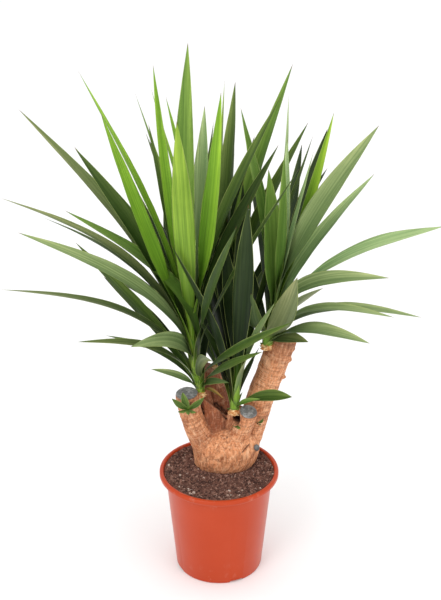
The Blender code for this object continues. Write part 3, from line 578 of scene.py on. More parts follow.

# %% [markdown]
# ## Where the leaves go
# Every leaf blade is listed with its tip, its width and how far it bows. A blade that would cross another one, or
# the wood, is moved a little until it is clear, by the rule that placed it in the plain model. The draw is seeded by
# the blade itself, so the same blade always ends in the same place. The last word names the blade's colour.

# %% The shoots and their blades
# Stem points are x, y, z and radius in millimetres. "leafy" is the share of the stem that bears blades.
# A blade has its tip in centimetres, its width and bow in millimetres, the share of its width that shows from
# the front, its tone and the share of its length where it is widest. "fill" is for the blades by rule.
# blades by rule take the shade tone, which is painted shade: a dark green for blades that lie in shade in the crown
Blade = namedtuple("Blade", "tip width bow shows tone widest", defaults=("shade", 0.5))
Fill = namedtuple("Fill", "count bearing rise length")
Shoot = namedtuple("Shoot", "name stem leafy blades fill")
SHOOTS = [
    Shoot("shoot_front", [(46, 8, 334, 5), (31, 12, 342, 9), (31, 11, 358, 9.5), (34, 7, 398, 8.5),
                          (37, 3, 452, 4)], (0.34, 0.96), [
        Blade((8, -5, 41), 10, 8, 0.6, "green"), Blade((14, -6, 42), 26, 14, 0.7, "mid", 0.7),
        Blade((7, 4, 45), 14, 6, 0.6, "deep"), Blade((8, 5, 47), 16, 8, 0.5, "deep"),
        Blade((-4.4, 1, 56), 30, 6, 0.6, "deep"), Blade((-2, 7, 54), 34, 6, 0.8, "deep"),
        Blade((10, -14, 66), 30, 8, 0.55, "grey"), Blade((18, 10, 89), 24, 14, 0.5, "deep"),
        Blade((6, 2, 80), 26, 4, 0.5, "deep"), Blade((5, -5, 81), 40, 2, -0.8, "shade")],
        Fill(8, (80, 200), (58, 84), (30, 45))),
    Shoot("shoot_left", [(-54, 25, 352, 5.5), (-37, 39, 366, 9.5), (-39, 40, 392, 10), (-46, 30, 436, 11),
                         (-52, 22, 496, 8), (-55, 20, 540, 4)], (0.25, 0.97), [
        Blade((1, -5, 41), 7, 12, 0.6, "yellow"), Blade((-13, -4, 47), 16, 10, 0.6, "grey"),
        Blade((2, -4, 44), 14, 12, 0.6, "deep"), Blade((-23, 12, 46), 20, 30, 0.6, "mid"),
        Blade((-26, -12, 57), 20, 40, 0.5, "olive"), Blade((-1, -14, 54), 22, 28, -0.45, "olive"),
        Blade((8, -12, 55), 20, 6, 0.4, "mid"), Blade((-16, -14, 57), 34, 50, 0.7, "grey"),
        Blade((-42, 4, 60), 30, 78, 0.4, "olive"), Blade((-29, 20, 63), 36, 10, 0.65, "mid"),
        Blade((13, -16, 63), 22, 8, 0.45, "mid"), Blade((-36, -8, 77), 38, 66, 0.6, "grey"),
        Blade((-35, 18, 69), 18, 112, 0.5, "deep"), Blade((-29, 5, 76), 40, 94, 0.6, "green"),
        Blade((-41, 10, 78), 30, 122, 0.5, "olive"), Blade((-28, 20, 84), 34, 60, 0.5, "fresh"),
        Blade((3, -22, 84), 30, 12, 0.55, "deep"), Blade((-25.7, -2, 90.8), 46, 30, 0.7, "deep"),
        Blade((-37.3, 8, 94.9), 38, 54, 0.6, "olive"), Blade((14, -8, 89), 30, 6, 0.2, "deep"),
        Blade((-13, 8, 92), 30, 2, 0.65, "mid"), Blade((11, 5, 89), 40, 18, 0.6, "deep"),
        Blade((-25, 4, 103), 32, 28, 0.35, "fresh"), Blade((-20.2, -8, 99), 42, -6, 0.55, "fresh"),
        Blade((-1, 12, 91), 26, 4, 0.5, "mid"), Blade((-2.6, 8, 95.4), 42, -4, 0.9, "silver"),
        Blade((12, 12, 97), 32, 30, 0.45, "mid"),
        Blade((-11.4, -2, 106), 30, -10, 0.65, "fresh"), Blade((0.4, -5, 102), 42, -12, 0.85, "fresh"),
        Blade((-6, 5, 108.4), 44, 26, 0.9, "green"), Blade((-7, -15, 100), 42, 2, -0.9, "lime")],
        Fill(6, (60, 140), (14, 60), (32, 44))),
    Shoot("shoot_right", [(106, 42, 462, 5.5), (93, 33, 477, 10), (94, 32, 492, 10), (100, 30, 525, 9),
                          (108, 28, 578, 4)], (0.38, 0.96), [
        Blade((17, -6, 54), 28, 16, 0.7, "olive"), Blade((28, -10, 56), 34, 26, 0.5, "grey"),
        Blade((21, 15, 55), 36, 20, -0.7, "olive"), Blade((32, -10, 61), 26, 44, 0.5, "grey"),
        Blade((38, -4, 58), 32, 44, 0.5, "grey"), Blade((31, -8, 68), 34, 58, 0.7, "grey"),
        Blade((42, 2, 74), 36, 58, 0.6, "silver", 0.7), Blade((14, -12, 70), 46, -22, -0.95, "olive"),
        Blade((6, -4, 63), 30, -16, -0.8, "deep"), Blade((29, 6, 83), 38, 24, 0.6, "silver"),
        Blade((9, 0, 86), 44, 6, 0.8, "green"), Blade((12, 0, 89), 30, 6, 0.5, "green"),
        Blade((17, 2, 89), 24, 6, 0.4, "silver"), Blade((13, 4, 90), 36, 6, 0.75, "silver"),
        Blade((4, 5, 96), 36, 14, 0.65, "green"), Blade((13, 12, 96), 24, 4, 0.4, "silver"),
        Blade((28, -5, 96), 44, 22, 0.98, "grey"), Blade((20, -3, 98), 28, -8, 0.6, "lime")],
        Fill(8, (60, 165), (20, 66), (30, 44))),
    Shoot("shoot_rear", [(-20, 90, 384, 5.5), (-1, 98, 394, 9.5), (0, 101, 412, 9), (-1, 104, 460, 8),
                         (0, 108, 530, 4)], (0.28, 0.96), [
        Blade((20, 18, 73), 26, 16, 0.4, "mid"), Blade((26, 20, 79), 26, 24, 0.4, "mid"),
        Blade((-14, 15, 88), 28, 6, 0.5, "mid"), Blade((-16, 20, 94), 24, 6, 0.4, "green"),
        Blade((-13, 20, 95), 24, 6, 0.4, "fresh"), Blade((17, 15, 90), 36, 22, 0.7, "mid"),
        Blade((-10, 15, 95), 28, 4, 0.6, "fresh"), Blade((13.5, 10, 102.7), 38, 16, 0.7, "green"),
        Blade((1.8, 13, 98.5), 34, 6, 0.5, "lime"), Blade((3, 8, 100), 42, 6, -0.7, "mid")],
        Fill(12, (40, 145), (10, 76), (34, 46))),
]
print("listed blades:", {shoot.name: len(shoot.blades) for shoot in SHOOTS})

# %% [markdown]
# A stem is a smooth line that is read by its share of the length. A blade is described by formulas: its centre line,
# the frame of three directions that it lies in, and its width. A width formula is what makes a leaf look like a
# yucca's: narrow above the sheath, widest in the middle, and drawn out into a long sharp point.

# %% Stem and leaf
SEEN_FROM = (0.0, -2.3, 1.7)
STEM_SLIM = 0.78
STEM_STEPS = 24
AXIS_REACH = 0.08
SHORT_BLADE = 200 * MM
BENT_FROM = 30 * MM
SHORT_SECTIONS = (0.0, 0.30, 0.58, 0.82)
STRAIGHT_SECTIONS = (0.0, 0.18, 0.42, 0.68, 0.87)
BENT_SECTIONS = (0.0, 0.15, 0.32, 0.52, 0.72, 0.88)
BLADE_T = 1.7 * MM
BLADE_FOLD = 0.20
ROOT_WIDTH = 0.36
# how fast the width grows from the sheath, how much faster in a blade that is widest further out, how it tapers
WIDENING = 1.5
LATE_WIDENING = 5
TAPER = 1.7
# the bow is stronger near the root: this much at the root, and this much less at the tip
BOW_AT_ROOT = 1.3
BOW_LOSS = 0.6
ROLLED_BY = 0.45
MOST_ROLL_DEG = 75


class Stem:
    """The centre line of a shoot's stem, read by its share of the length."""

    def __init__(self, points):
        self.points = smooth_points(points, STEM_STEPS)
        self.line = [Vector(p[:3]) * MM for p in self.points]
        self.length = sum((b - a).length for a, b in zip(self.line, self.line[1:]))

    def at(self, share):
        place = share * (len(self.line) - 1)
        i = min(int(place), len(self.line) - 2)
        return self.line[i].lerp(self.line[i + 1], place - i)

    def axis(self, share):
        return (self.at(min(1, share + AXIS_REACH)) - self.at(max(0, share - AXIS_REACH))).normalized()

    def radius(self, share):
        return self.points[round(share * (len(self.points) - 1))][3] * STEM_SLIM * MM


def half_width(share, width, widest):
    """Half the blade's width: narrow at the sheath, widest at the given share, with a long sharp point."""
    root = ROOT_WIDTH * 2 * (1 - widest)
    if share < widest:
        power = WIDENING + LATE_WIDENING * (widest - 0.5)
        grown = root + (1 - root) * math.sin(math.pi / 2 * share / widest) ** power
    else:
        grown = 1 - ((share - widest) / (1 - widest)) ** TAPER
    return 0.5 * width * max(0.0, grown)


class Leaf:
    """One blade: its centre line, and the frame that the blade lies in."""

    def __init__(self, root, axis, tip, width, bow, widest=0.5):
        self.root, self.tip, self.width, self.bow, self.widest = root, tip, width, bow, widest
        self.roll = 0.0
        self.chord = tip - root
        along = self.chord.normalized()
        self.up = (axis - along * axis.dot(along)).normalized()

    def centre(self, t):
        return self.root + self.chord * t + self.up * (4 * self.bow * t * (1 - t) * (BOW_AT_ROOT - BOW_LOSS * t))

    def frame(self, t):
        """Tangent, side and upper face normal at a share of the length."""
        climb = 4 * self.bow * ((1 - 2 * t) * (BOW_AT_ROOT - BOW_LOSS * t) - BOW_LOSS * t * (1 - t))
        tangent = (self.chord + self.up * climb).normalized()
        side = tangent.cross(self.up).normalized()
        side = Matrix.Rotation(self.roll * smooth(t / ROLLED_BY), 3, tangent) @ side
        return tangent, side, side.cross(tangent)

    def roll_that_shows(self, share):
        """The least roll that turns this share of the blade's width to the front."""
        _, side, face = self.frame(0.5)
        to_front = (Vector(SEEN_FROM) - self.centre(0.5)).normalized()
        across, flat = side.dot(to_front), face.dot(to_front)
        lean = math.acos(max(-1.0, min(1.0, share / math.hypot(across, flat))))
        rolls = [math.remainder(math.atan2(across, flat) + way * lean, 2 * math.pi) for way in (-1, 1)]
        most = math.radians(MOST_ROLL_DEG)
        return max(-most, min(most, min(rolls, key=abs)))

    def section(self, t, grow=0.0):
        """Left edge, upper middle, right edge and lower middle."""
        _, side, face = self.frame(t)
        centre = self.centre(t)
        half = half_width(t, self.width, self.widest) + grow
        thick = BLADE_T * (1.5 - 0.9 * t) / 2 + grow
        lift = face * half * BLADE_FOLD * (1.5 - t)
        return [centre - side * half + lift, centre + face * thick, centre + side * half + lift,
                centre - face * thick]

    def sections(self):
        if self.chord.length < SHORT_BLADE:
            return SHORT_SECTIONS
        return BENT_SECTIONS if abs(self.bow) > BENT_FROM else STRAIGHT_SECTIONS

    def mesh(self, sections, grow=0.0):
        """Vertices and triangles of the plain closed blade."""
        verts = [corner for t in sections for corner in self.section(t, grow)]
        verts.append(self.centre(1.0))
        faces = []
        for i in range(len(sections) - 1):
            for k in range(4):
                a, b = 4 * i + k, 4 * i + (k + 1) % 4
                c, d = b + 4, a + 4
                faces += [(a, b, c), (a, c, d)] if k % 2 == 0 else [(a, b, d), (b, c, d)]
        last = 4 * (len(sections) - 1)
        faces += [(last + k, last + (k + 1) % 4, len(verts) - 1) for k in range(4)]
        faces += [(0, 3, 1), (1, 3, 2)]
        return verts, faces


# %% [markdown]
# To keep blades apart, each one is tested against its neighbours with search trees of its triangles. A blade that
# touches something tries again, a little further away each time and mostly to and fro as seen from the front, so
# that the plant's outline stays as it was.

# %% Placing the blades clear of each other
FUSED_SHARE = 0.20
CLEAR_OF_NEIGHBOURS = 0.9 * MM
TRIES = 300
MOVE_TO_AND_FRO = 110 * MM
MOVE_ANY_WAY = 30 * MM
MOST_MORE_BOW = 14
MOST_MORE_ROLL_DEG = 32
FREE_ROLL_DEG = 14
SEED = 7
GOLDEN = 0.618034
# how far around its arc the first blade by rule stands, and the range of each draw for those blades
FIRST_TURN = 0.31
RISE_DRAW_DEG = (-5, 5)
WIDTH_DRAW = (28, 42)
BOW_DRAW = (6, 34)
Placed = namedtuple("Placed", "shoot whole outer low high")


def outline_tree(leaf, start, grow):
    """A search tree of the blade from a share of its length onwards."""
    sections = [t for t in leaf.sections() if t > start]
    verts, faces = leaf.mesh([start] + sections, grow)
    return BVHTree.FromPolygons(verts, faces), verts


def placed(shoot, leaf, grow=0.0):
    whole, verts = outline_tree(leaf, 0.0, grow)
    outer, _ = outline_tree(leaf, FUSED_SHARE, grow)
    low = Vector(min(v[i] for v in verts) for i in range(3))
    high = Vector(max(v[i] for v in verts) for i in range(3))
    return Placed(shoot, whole, outer, low, high)


def apart(a, b):
    return any(a.low[i] > b.high[i] or b.low[i] > a.high[i] for i in range(3))


def is_clear(candidate, others, solids, of_its_own):
    """Whether the blade clears the other shoots and all solids, and beyond the roots its own shoot as well."""
    for other in others:
        if apart(candidate, other):
            continue
        if other.shoot != candidate.shoot:
            if candidate.whole.overlap(other.whole):
                return False
        elif of_its_own and candidate.outer.overlap(other.outer):
            return False
    return not any(candidate.whole.overlap(tree) for tree in solids)


def moved(root, axis, blade, share, draw):
    """The blade moved by a share of the most that it may move, mostly to and fro as seen from the front."""
    tip = Vector(blade.tip) * CM
    sight = (tip - Vector(SEEN_FROM)).normalized()
    tip += sight * draw.uniform(-1, 1) * share * MOVE_TO_AND_FRO
    tip += Vector(draw.uniform(-1, 1) for _ in range(3)) * share ** 2 * MOVE_ANY_WAY
    bow = blade.bow + draw.uniform(-MOST_MORE_BOW, MOST_MORE_BOW) * share
    leaf = Leaf(root, axis, tip, blade.width * MM, bow * MM, blade.widest)
    if blade.shows:
        leaf.roll = leaf.roll_that_shows(blade.shows)
    else:
        leaf.roll = math.radians(draw.uniform(-FREE_ROLL_DEG, FREE_ROLL_DEG))
    leaf.roll += math.radians(draw.uniform(-MOST_MORE_ROLL_DEG, MOST_MORE_ROLL_DEG) * share)
    return leaf


def bent_clear(shoot, root, axis, blade, others, solids, draw):
    """The blade, moved a little further each try until it is clear."""
    for of_its_own in (True, False):
        for attempt in range(TRIES):
            leaf = moved(root, axis, blade, attempt / TRIES, draw)
            if is_clear(placed(shoot, leaf, CLEAR_OF_NEIGHBOURS), others, solids, of_its_own):
                return leaf
    return None


def listed(shoot):
    return [((i + 0.5) / len(shoot.blades), blade) for i, blade in enumerate(shoot.blades)]


def share_of(shoot, up):
    """The share of the stem at a share of its leafy part."""
    return shoot.leafy[0] + (shoot.leafy[1] - shoot.leafy[0]) * up


def filled(shoot):
    """More blades by rule: they climb the stem by the golden angle within their arc, and stand up as they climb."""
    stem = Stem(shoot.stem)
    draw = random.Random(f"{SEED} {shoot.name}")
    made = []
    for i in range(shoot.fill.count):
        up = (i + 0.5) / shoot.fill.count
        low, high = shoot.fill.bearing
        bearing = math.radians(low + (high - low) * ((FIRST_TURN + i * GOLDEN) % 1.0))
        flat, steep = shoot.fill.rise
        rise = math.radians(flat + (steep - flat) * up + draw.uniform(*RISE_DRAW_DEG))
        length = draw.uniform(*shoot.fill.length) * (0.72 + 0.28 * math.sin(math.pi * (0.2 + 0.7 * up)))
        way = Vector((math.cos(bearing) * math.cos(rise), math.sin(bearing) * math.cos(rise), math.sin(rise)))
        tip = stem.at(share_of(shoot, up)) / CM + way * length
        made.append((up, Blade(tuple(tip), draw.uniform(*WIDTH_DRAW), draw.uniform(*BOW_DRAW) * math.cos(rise), None)))
    return made


# %% [markdown]
# Three small sprouts, a tuft and two buds, sit on the bark where the photograph shows them: a line of sight finds
# the spot. The wax discs on the cuts are needed here too, because leaves must keep clear of them.

# %% Sprouts, wax discs and the blades' places
Sprout = namedtuple("Sprout", "name aim leaves")
# a leaf of a sprout has the way that it points, its length and its width in millimetres
SPROUTS = [
    Sprout("tuft_left", (-61, 8, 354), [((-32, -9, 30), 44, 15), ((-11, -8, 45), 45, 16), ((33, -8, 32), 46, 14),
                                        ((18, -12, -1), 20, 9), ((-20, -12, 1), 24, 9), ((1, -12, -8), 13, 10)]),
    Sprout("bud_front", (37, 10, 314), [((-7, -6, 4), 13, 8), ((5, -8, 1), 13, 8)]),
    Sprout("bud_right", (77, 40, 303), [((6, -6, 9), 24, 9), ((4, -6, 2), 13, 7)]),
]
WAX = [("left_stub", 21.5 * MM), ("front_stub", 17 * MM), ("tall_cane", 25 * MM), ("side_knot", 6.6 * MM)]
WAX_T = 1.6 * MM
WAX_SIDES = 16
GAP = 0.4 * MM
STEM_SIDES = 8
STEM_RINGS = 8
SPROUT_BOW = 1.5 * MM
SPROUT_LIFT = 1.2
AXIS_STEPS = 40
WAX_UNEVEN = 0.03


def seat_of(sprout, trees):
    """Where the line of sight to the sprout's aim meets the bark, and the way that the bark faces there."""
    start = Vector(SEEN_FROM)
    way = (Vector(sprout.aim) * MM - start).normalized()
    hits = [tree.ray_cast(start, way) for tree in trees]
    hit, normal, _, _ = min((found for found in hits if found[0]), key=lambda found: found[3])
    return hit, normal


def sprout_leaves(sprout, seat, normal):
    root = seat + normal * SPROUT_LIFT * MM
    return [Leaf(root, normal, root + Vector(way).normalized() * length * MM, width * MM, SPROUT_BOW)
            for way, length, width in sprout.leaves]


def axis_at(points, cut_at, normal):
    """Where a limb's centre line meets its cutting plane."""
    target = Vector(cut_at) * MM
    line = [Vector(p[:3]) * MM for p in smooth_points(points, AXIS_STEPS)]
    for a, b in zip(line, line[1:]):
        da, db = (a - target).dot(normal), (b - target).dot(normal)
        if da <= 0 <= db:
            return a.lerp(b, da / (da - db))
    return target


def walls(bm, loops):
    """Four-sided faces between each loop of vertices and the next."""
    faces = []
    for lower, upper in zip(loops, loops[1:]):
        for i in range(len(lower)):
            j = (i + 1) % len(lower)
            faces.append(bm.faces.new((lower[i], lower[j], upper[j], upper[i])))
    return faces


def wax_disc(limb, radius, sides, rings):
    """A domed disc on a sawn end, from (share of the radius, height) rings and a slightly uneven outline."""
    bm = bmesh.new()
    loops = []
    for share, z in rings:
        loop = []
        for i in range(sides):
            turn = 2 * math.pi * i / sides
            uneven = 1 + WAX_UNEVEN * noise.noise(Vector((3 * math.cos(turn), 3 * math.sin(turn), radius * 900)))
            r = share * radius * uneven
            loop.append(bm.verts.new((r * math.cos(turn), r * math.sin(turn), z)))
        loops.append(loop)
    walls(bm, loops)
    bm.faces.new(loops[0][::-1])
    bm.faces.new(loops[-1])
    normal = Vector(limb.cut_normal).normalized()
    place = Matrix.Translation(axis_at(limb.points, limb.cut_at, normal) + normal * GAP)
    bm.transform(place @ normal.to_track_quat("Z", "Y").to_matrix().to_4x4())
    return bm


def tree_of(bm):
    tree = BVHTree.FromBMesh(bm)
    bm.free()
    return tree


def place_leaves(wood, wax, seats):
    """All blades as (leaf, share of the stem, tone): the listed ones from front to back, then the rest."""
    stems = {shoot.name: tree_of(tube(smooth_points(shoot.stem, STEM_RINGS), STEM_SIDES)) for shoot in SHOOTS}
    leaves = {shoot.name: [] for shoot in SHOOTS}
    others = [placed(sprout.name, leaf) for sprout in SPROUTS for leaf in sprout_leaves(sprout, *seats[sprout.name])]
    front_first = sorted(((shoot, *job) for shoot in SHOOTS for job in listed(shoot)), key=lambda job: job[2].tip[1])
    for shoot, up, blade in front_first + [(shoot, *job) for shoot in SHOOTS for job in filled(shoot)]:
        stem, share = Stem(shoot.stem), share_of(shoot, up)
        solids = wood + wax + [tree for name, tree in stems.items() if name != shoot.name]
        draw = random.Random(f"{SEED} {shoot.name} {up:.4f} {blade.width:.2f}")
        leaf = bent_clear(shoot.name, stem.at(share), stem.axis(share), blade, others, solids, draw)
        if leaf:
            others.append(placed(shoot.name, leaf))
            leaves[shoot.name].append((leaf, share, blade.tone))
    return leaves


limbs = {limb.name: limb for limb in LIMBS}
wood_trees = [tree_of(stump_guide())] + [tree_of(limb_guide(limb)) for limb in LIMBS]
plain_rings = [(1, 0.0), (1, 0.55 * WAX_T), (0.84, WAX_T)]
wax_trees = [tree_of(wax_disc(limbs[name], radius, WAX_SIDES, plain_rings)) for name, radius in WAX]
seats = {sprout.name: seat_of(sprout, wood_trees) for sprout in SPROUTS}
leaves = place_leaves(wood_trees, wax_trees, seats)
print("blades placed:", {name: len(found) for name, found in leaves.items()})

# %% [markdown]
# ## A blade as a course of points
# A real yucca leaf starts as a sheath that clasps the stem, runs up it for a few centimetres and only then leans
# out. So the finer blade follows the plain one everywhere except near its root, where its course is bent against
# the stem. Each point carries what the section needs there: two directions, half the width, the thickness and how
# tightly the section curls. The short pointed leaf bases lower on the stem and the leaves of the sprouts are
# courses of the same kind.

# %% Courses along the blades
COURSE_ROWS = 30
SHEATH = 24 * MM
SHEATH_SHARE = 0.15
SHEATH_WRAP = 1.35
# the clasping root is never wider than this share of the leaf on either side, and lies this far off the stem
SHEATH_MOST = 0.46
SHEATH_OFF = 1.2 * MM
STEM_BARE_SHARE = 0.30
# the rows stand closer near the root, and this share of the way up the blade has opened to its own curl
ROW_CROWDING = 1.2
OPEN_BY = 0.13
FREE_CURL = 0.50
BRACT_ROWS = 12
BRACT_WRAP = 1.45
BRACTS = 8
BRACT_SHARES = (0.29, 0.64)
BRACT_LENGTHS = (16 * MM, 34 * MM)
BRACT_TURN = 2.4
SPROUT_ROWS = 14
SPROUT_THICK = 0.8 * MM
SPROUT_CURL = 0.6
SPROUT_BLEACH = 0.35
LEAST_HALF = 0.05 * MM
# where each tone stands on the colour ramp of the leaf's finish. The shade tone is painted shade, the dark green of
# blades that lie in shade inside the crown, and the deep tone is the old leaves' dark green, darkened further as
# painted shade. The grey and silver tones are partly the leaves' own grey-green and partly a painted sheen.
TONES = {"shade": 0.03, "deep": 0.12, "mid": 0.22, "olive": 0.32, "green": 0.42, "grey": 0.52, "silver": 0.62,
         "fresh": 0.74, "yellow": 0.86, "lime": 1.0}
Row = namedtuple("Row", "point side face half thick curl along run tone leaf bleach")
VECTORS = ("side", "face")


def blade_course(leaf, stem, share, tone, number):
    """Rows of point and attributes from the sheath to the tip."""
    outward = leaf.chord - stem.axis(share) * leaf.chord.dot(stem.axis(share))
    # neighbours take turns in three layers, so that their sheaths don't share one surface
    outward = outward.normalized() * (stem.radius(share) + (0.5 + 0.5 * (number % 3)) * MM)
    start = max(STEM_BARE_SHARE, share - SHEATH / stem.length)
    wrap = min(SHEATH_WRAP * stem.radius(share), SHEATH_MOST * leaf.width)
    held_radius = stem.radius(share) + SHEATH_OFF
    curl_free = FREE_CURL / (0.5 * leaf.width)

    def course(t):
        held = stem.at(min(1.0, start + (share - start) * t / SHEATH_SHARE * 1.4)) + outward
        return held.lerp(leaf.centre(t), smooth(t / SHEATH_SHARE))

    rows = []
    for i in range(COURSE_ROWS + 1):
        t = (i / COURSE_ROWS) ** ROW_CROWDING
        tangent = (course(min(1.0, t + 0.01)) - course(max(0.0, t - 0.01))).normalized()
        side = leaf.frame(t)[1]
        side = (side - tangent * side.dot(tangent)).normalized()
        free = smooth(t / OPEN_BY)
        half = wrap * (1 - free) + half_width(t, leaf.width, leaf.widest) * free
        thick = (1.5 - 0.95 * smooth(t / 0.5)) * (1 - 0.6 * t) * MM
        curl = (1 - free) / held_radius + free * curl_free
        bleach = 1 - smooth((t - 0.02) / 0.12)
        rows.append(Row(course(t), side, side.cross(tangent), max(half, LEAST_HALF), thick, curl, t,
                        t * leaf.chord.length, TONES[tone], number, bleach))
    return rows


def bract_course(stem, share, turn, length, number):
    """A short pointed leaf base that clasps the stem and lies along it."""
    axis = stem.axis(share)
    outward = Matrix.Rotation(turn, 3, axis) @ axis.orthogonal().normalized()
    rows = []
    for i in range(BRACT_ROWS + 1):
        t = i / BRACT_ROWS
        up = min(1.0, share + length * t / stem.length)
        lift = (0.8 + 0.4 * (number % 3) + 5.5 * t ** 2.2) * MM
        radius = stem.radius(up)
        half = BRACT_WRAP * radius * (1 - t ** 1.5)
        bleach = smooth(t / 0.3) * (1.0 - 0.8 * t ** 1.5)
        rows.append(Row(stem.at(up) + outward * (radius + lift), axis.cross(-outward), -outward,
                        max(half, LEAST_HALF), (1.3 - 0.8 * t) * MM, 1 / (radius + lift), 0.45 + 0.5 * t, length * t,
                        TONES["green"], number, bleach))
    return rows


def sprout_course(leaf, number):
    rows = []
    for i in range(SPROUT_ROWS + 1):
        t = i / SPROUT_ROWS
        _, side, face = leaf.frame(t)
        half = max(half_width(t, leaf.width, leaf.widest), LEAST_HALF)
        rows.append(Row(leaf.centre(t), side, face, half, SPROUT_THICK, SPROUT_CURL / (0.5 * leaf.width),
                        0.3 + 0.7 * t, t * leaf.chord.length, TONES["mid"], number,
                        SPROUT_BLEACH * (1 - smooth(t / 0.2))))
    return rows


def guide_of(name, courses):
    """One mesh of open lines, with the attributes of every course stored on its points."""
    rows, edges = [], []
    for course in courses:
        edges += chained(len(rows), len(course))
        rows += course
    guide = line_object(name, [tuple(row.point) for row in rows], edges)
    for label in Row._fields[1:]:
        values = [getattr(row, label) for row in rows]
        if label in VECTORS:
            attribute = guide.data.attributes.new(label, "FLOAT_VECTOR", "POINT")
            attribute.data.foreach_set("vector", [part for value in values for part in value])
        else:
            guide.data.attributes.new(label, "FLOAT", "POINT").data.foreach_set("value", values)
    return guide


def shoot_courses(shoot, first):
    """The courses of a shoot's blades and of the short leaf bases below them, numbered from the first onwards."""
    stem = Stem(shoot.stem)
    courses = [blade_course(leaf, stem, share, tone, first + i)
               for i, (leaf, share, tone) in enumerate(leaves[shoot.name])]
    low, high = BRACT_SHARES
    short, long = BRACT_LENGTHS
    for i in range(BRACTS):
        share = low + (high - low) * i / BRACTS
        length = short + (long - short) * i / BRACTS
        courses.append(bract_course(stem, share, BRACT_TURN * i, length, first + len(courses)))
    return courses


guides, number = {}, 1
for shoot in SHOOTS:
    courses = shoot_courses(shoot, number)
    guides[shoot.name] = guide_of(shoot.name + "_blades", courses)
    number += len(courses)
print("courses:", number - 1)

# %% [markdown]
# ## The blade tree
# Geometry Nodes turn each course into a closed, thin blade. A ring of points is swept along the line, and then every
# point is set in place by formulas: the section is an arc that opens from a tight clasp round the stem into a
# shallow channel, with a crease along the midrib and an edge that waves a little. Every blade of a shoot is made at
# once, by the same rule.

# %% Geometry Nodes for the blades
SECTION_POINTS = 14
WELD = 0.03 * MM


def read(pad, name, kind="FLOAT"):
    return pad.add("GeometryNodeInputNamedAttribute", {"Name": name}, data_type=kind).outputs["Attribute"]


def store(pad, geometry, name, value, kind="FLOAT"):
    return pad.geo("StoreNamedAttribute", {"Geometry": geometry, "Name": name, "Value": value}, data_type=kind,
                   domain="POINT")


def finished(pad, geometry, finish):
    """The end of every tree: smooth, real and with its finish."""
    geometry = pad.geo("SetShadeSmooth", {"Geometry": geometry, "Shade Smooth": True})
    geometry = pad.geo("RealizeInstances", {"Geometry": geometry})
    return pad.geo("SetMaterial", {"Geometry": geometry, "Material": finish})


def edge_wave(pad, inputs, across, half):
    """How far the blade's edge waves up or down: not at the midrib, and less where the blade is narrow."""
    beat = pad.xyz(pad.math("DIVIDE", read(pad, "run"), inputs["Wave Length"]), across,
                   pad.times(read(pad, "leaf"), 3.7))
    spread = pad.times(pad.math("POWER", pad.math("ABSOLUTE", across), 2.0), pad.span(half, 0.0, 14 * MM))
    return pad.times(pad.times(pad.swing(beat, 1.0, 1.0), spread), pad.times(inputs["Wave"], 4.0))


def blade_section(pad, inputs, across, through):
    """Where a point of the section lies: an arc across the blade, with a crease, a waving edge and a thickness."""
    half, curl = read(pad, "half"), read(pad, "curl")
    angle = pad.times(pad.times(across, half), curl)
    aside = pad.math("DIVIDE", pad.math("SINE", angle), curl)
    sagged = pad.math("DIVIDE", pad.minus(1.0, pad.math("COSINE", angle)), curl)
    crease = pad.times(pad.times(pad.math("ABSOLUTE", across), half), inputs["Crease"])
    fade = pad.math("SQRT", pad.minus(1.08, pad.times(across, across)))
    body = pad.times(pad.times(through, pad.times(read(pad, "thick"), 0.5)), fade)
    lift = pad.plus(pad.plus(sagged, crease), pad.plus(edge_wave(pad, inputs, across, half), body))
    moved_out = pad.vector("ADD", pad.scaled(read(pad, "side", "FLOAT_VECTOR"), aside),
                           pad.scaled(read(pad, "face", "FLOAT_VECTOR"), lift))
    return pad.vector("ADD", read(pad, "centre", "FLOAT_VECTOR"), moved_out)


def make_blade_tree():
    pad, inputs, outputs = new_tree(
        "blades_on_courses", "GeometryNodeTree",
        {"Courses": "Geometry", "Section Points": SECTION_POINTS, "Crease": 0.10, "Wave": 0.9 * MM,
         "Wave Length": 55 * MM, "Finish": "Material"},
        {"Blades": "Geometry"})
    line = pad.geo("MeshToCurve", {"Mesh": inputs["Courses"]})
    line = store(pad, line, "centre", pad.geo("InputPosition"), "FLOAT_VECTOR")
    ring = pad.geo("CurvePrimitiveCircle", {"Resolution": inputs["Section Points"], "Radius": 1.0})
    turn = pad.math("DIVIDE", pad.times(pad.geo("InputIndex"), 2 * math.pi), inputs["Section Points"])
    ring = store(pad, ring, "turn", turn)
    blades = pad.geo("CurveToMesh", {"Curve": line, "Profile Curve": ring, "Fill Caps": True})
    turn = read(pad, "turn")
    across, through = pad.math("COSINE", turn), pad.times(pad.math("SINE", turn), -1.0)
    place = blade_section(pad, inputs, across, through)
    blades = store(pad, blades, "across", across)
    blades = store(pad, blades, "under", pad.span(through, 0.15, -0.15))
    blades = pad.geo("SetPosition", {"Geometry": blades, "Position": place})
    blades = pad.geo("MergeByDistance", {"Geometry": blades, "Distance": WELD})
    pad.feed(outputs["Blades"], finished(pad, blades, inputs["Finish"]))
    return pad.tree


def grown(obj, tree, **values):
    """Runs a Geometry Nodes tree on the object and keeps the result as its plain mesh."""
    modifier = obj.modifiers.new(tree.name, "NODES")
    modifier.node_group = tree
    sockets = {item.name: item.identifier for item in tree.interface.items_tree if item.in_out == "INPUT"}
    for label, value in values.items():
        modifier[sockets[label.replace("_", " ")]] = value
    apply_modifiers(obj)
    return obj


blade_tree = make_blade_tree()
print("blade tree:", len(blade_tree.nodes), "nodes")

# %% [markdown]
# ## Leaf green
# The leaf's finish reads the attributes that the blade tree stored. The tone runs from the old dark leaves to the
# young lime ones in the heart of a shoot; the darkest tone is painted shade for blades deep in the crown, and the
# grey and silver tones are partly a painted sheen. Painted shade darkens each blade towards its root and on one half,
# and painted light brightens it towards the tip and on the other half. Fine lines run along the blade, the margin is
# a thin pale thread, the sheath is bleached, the very tip is a dry brown needle, and the lower face is a little paler.

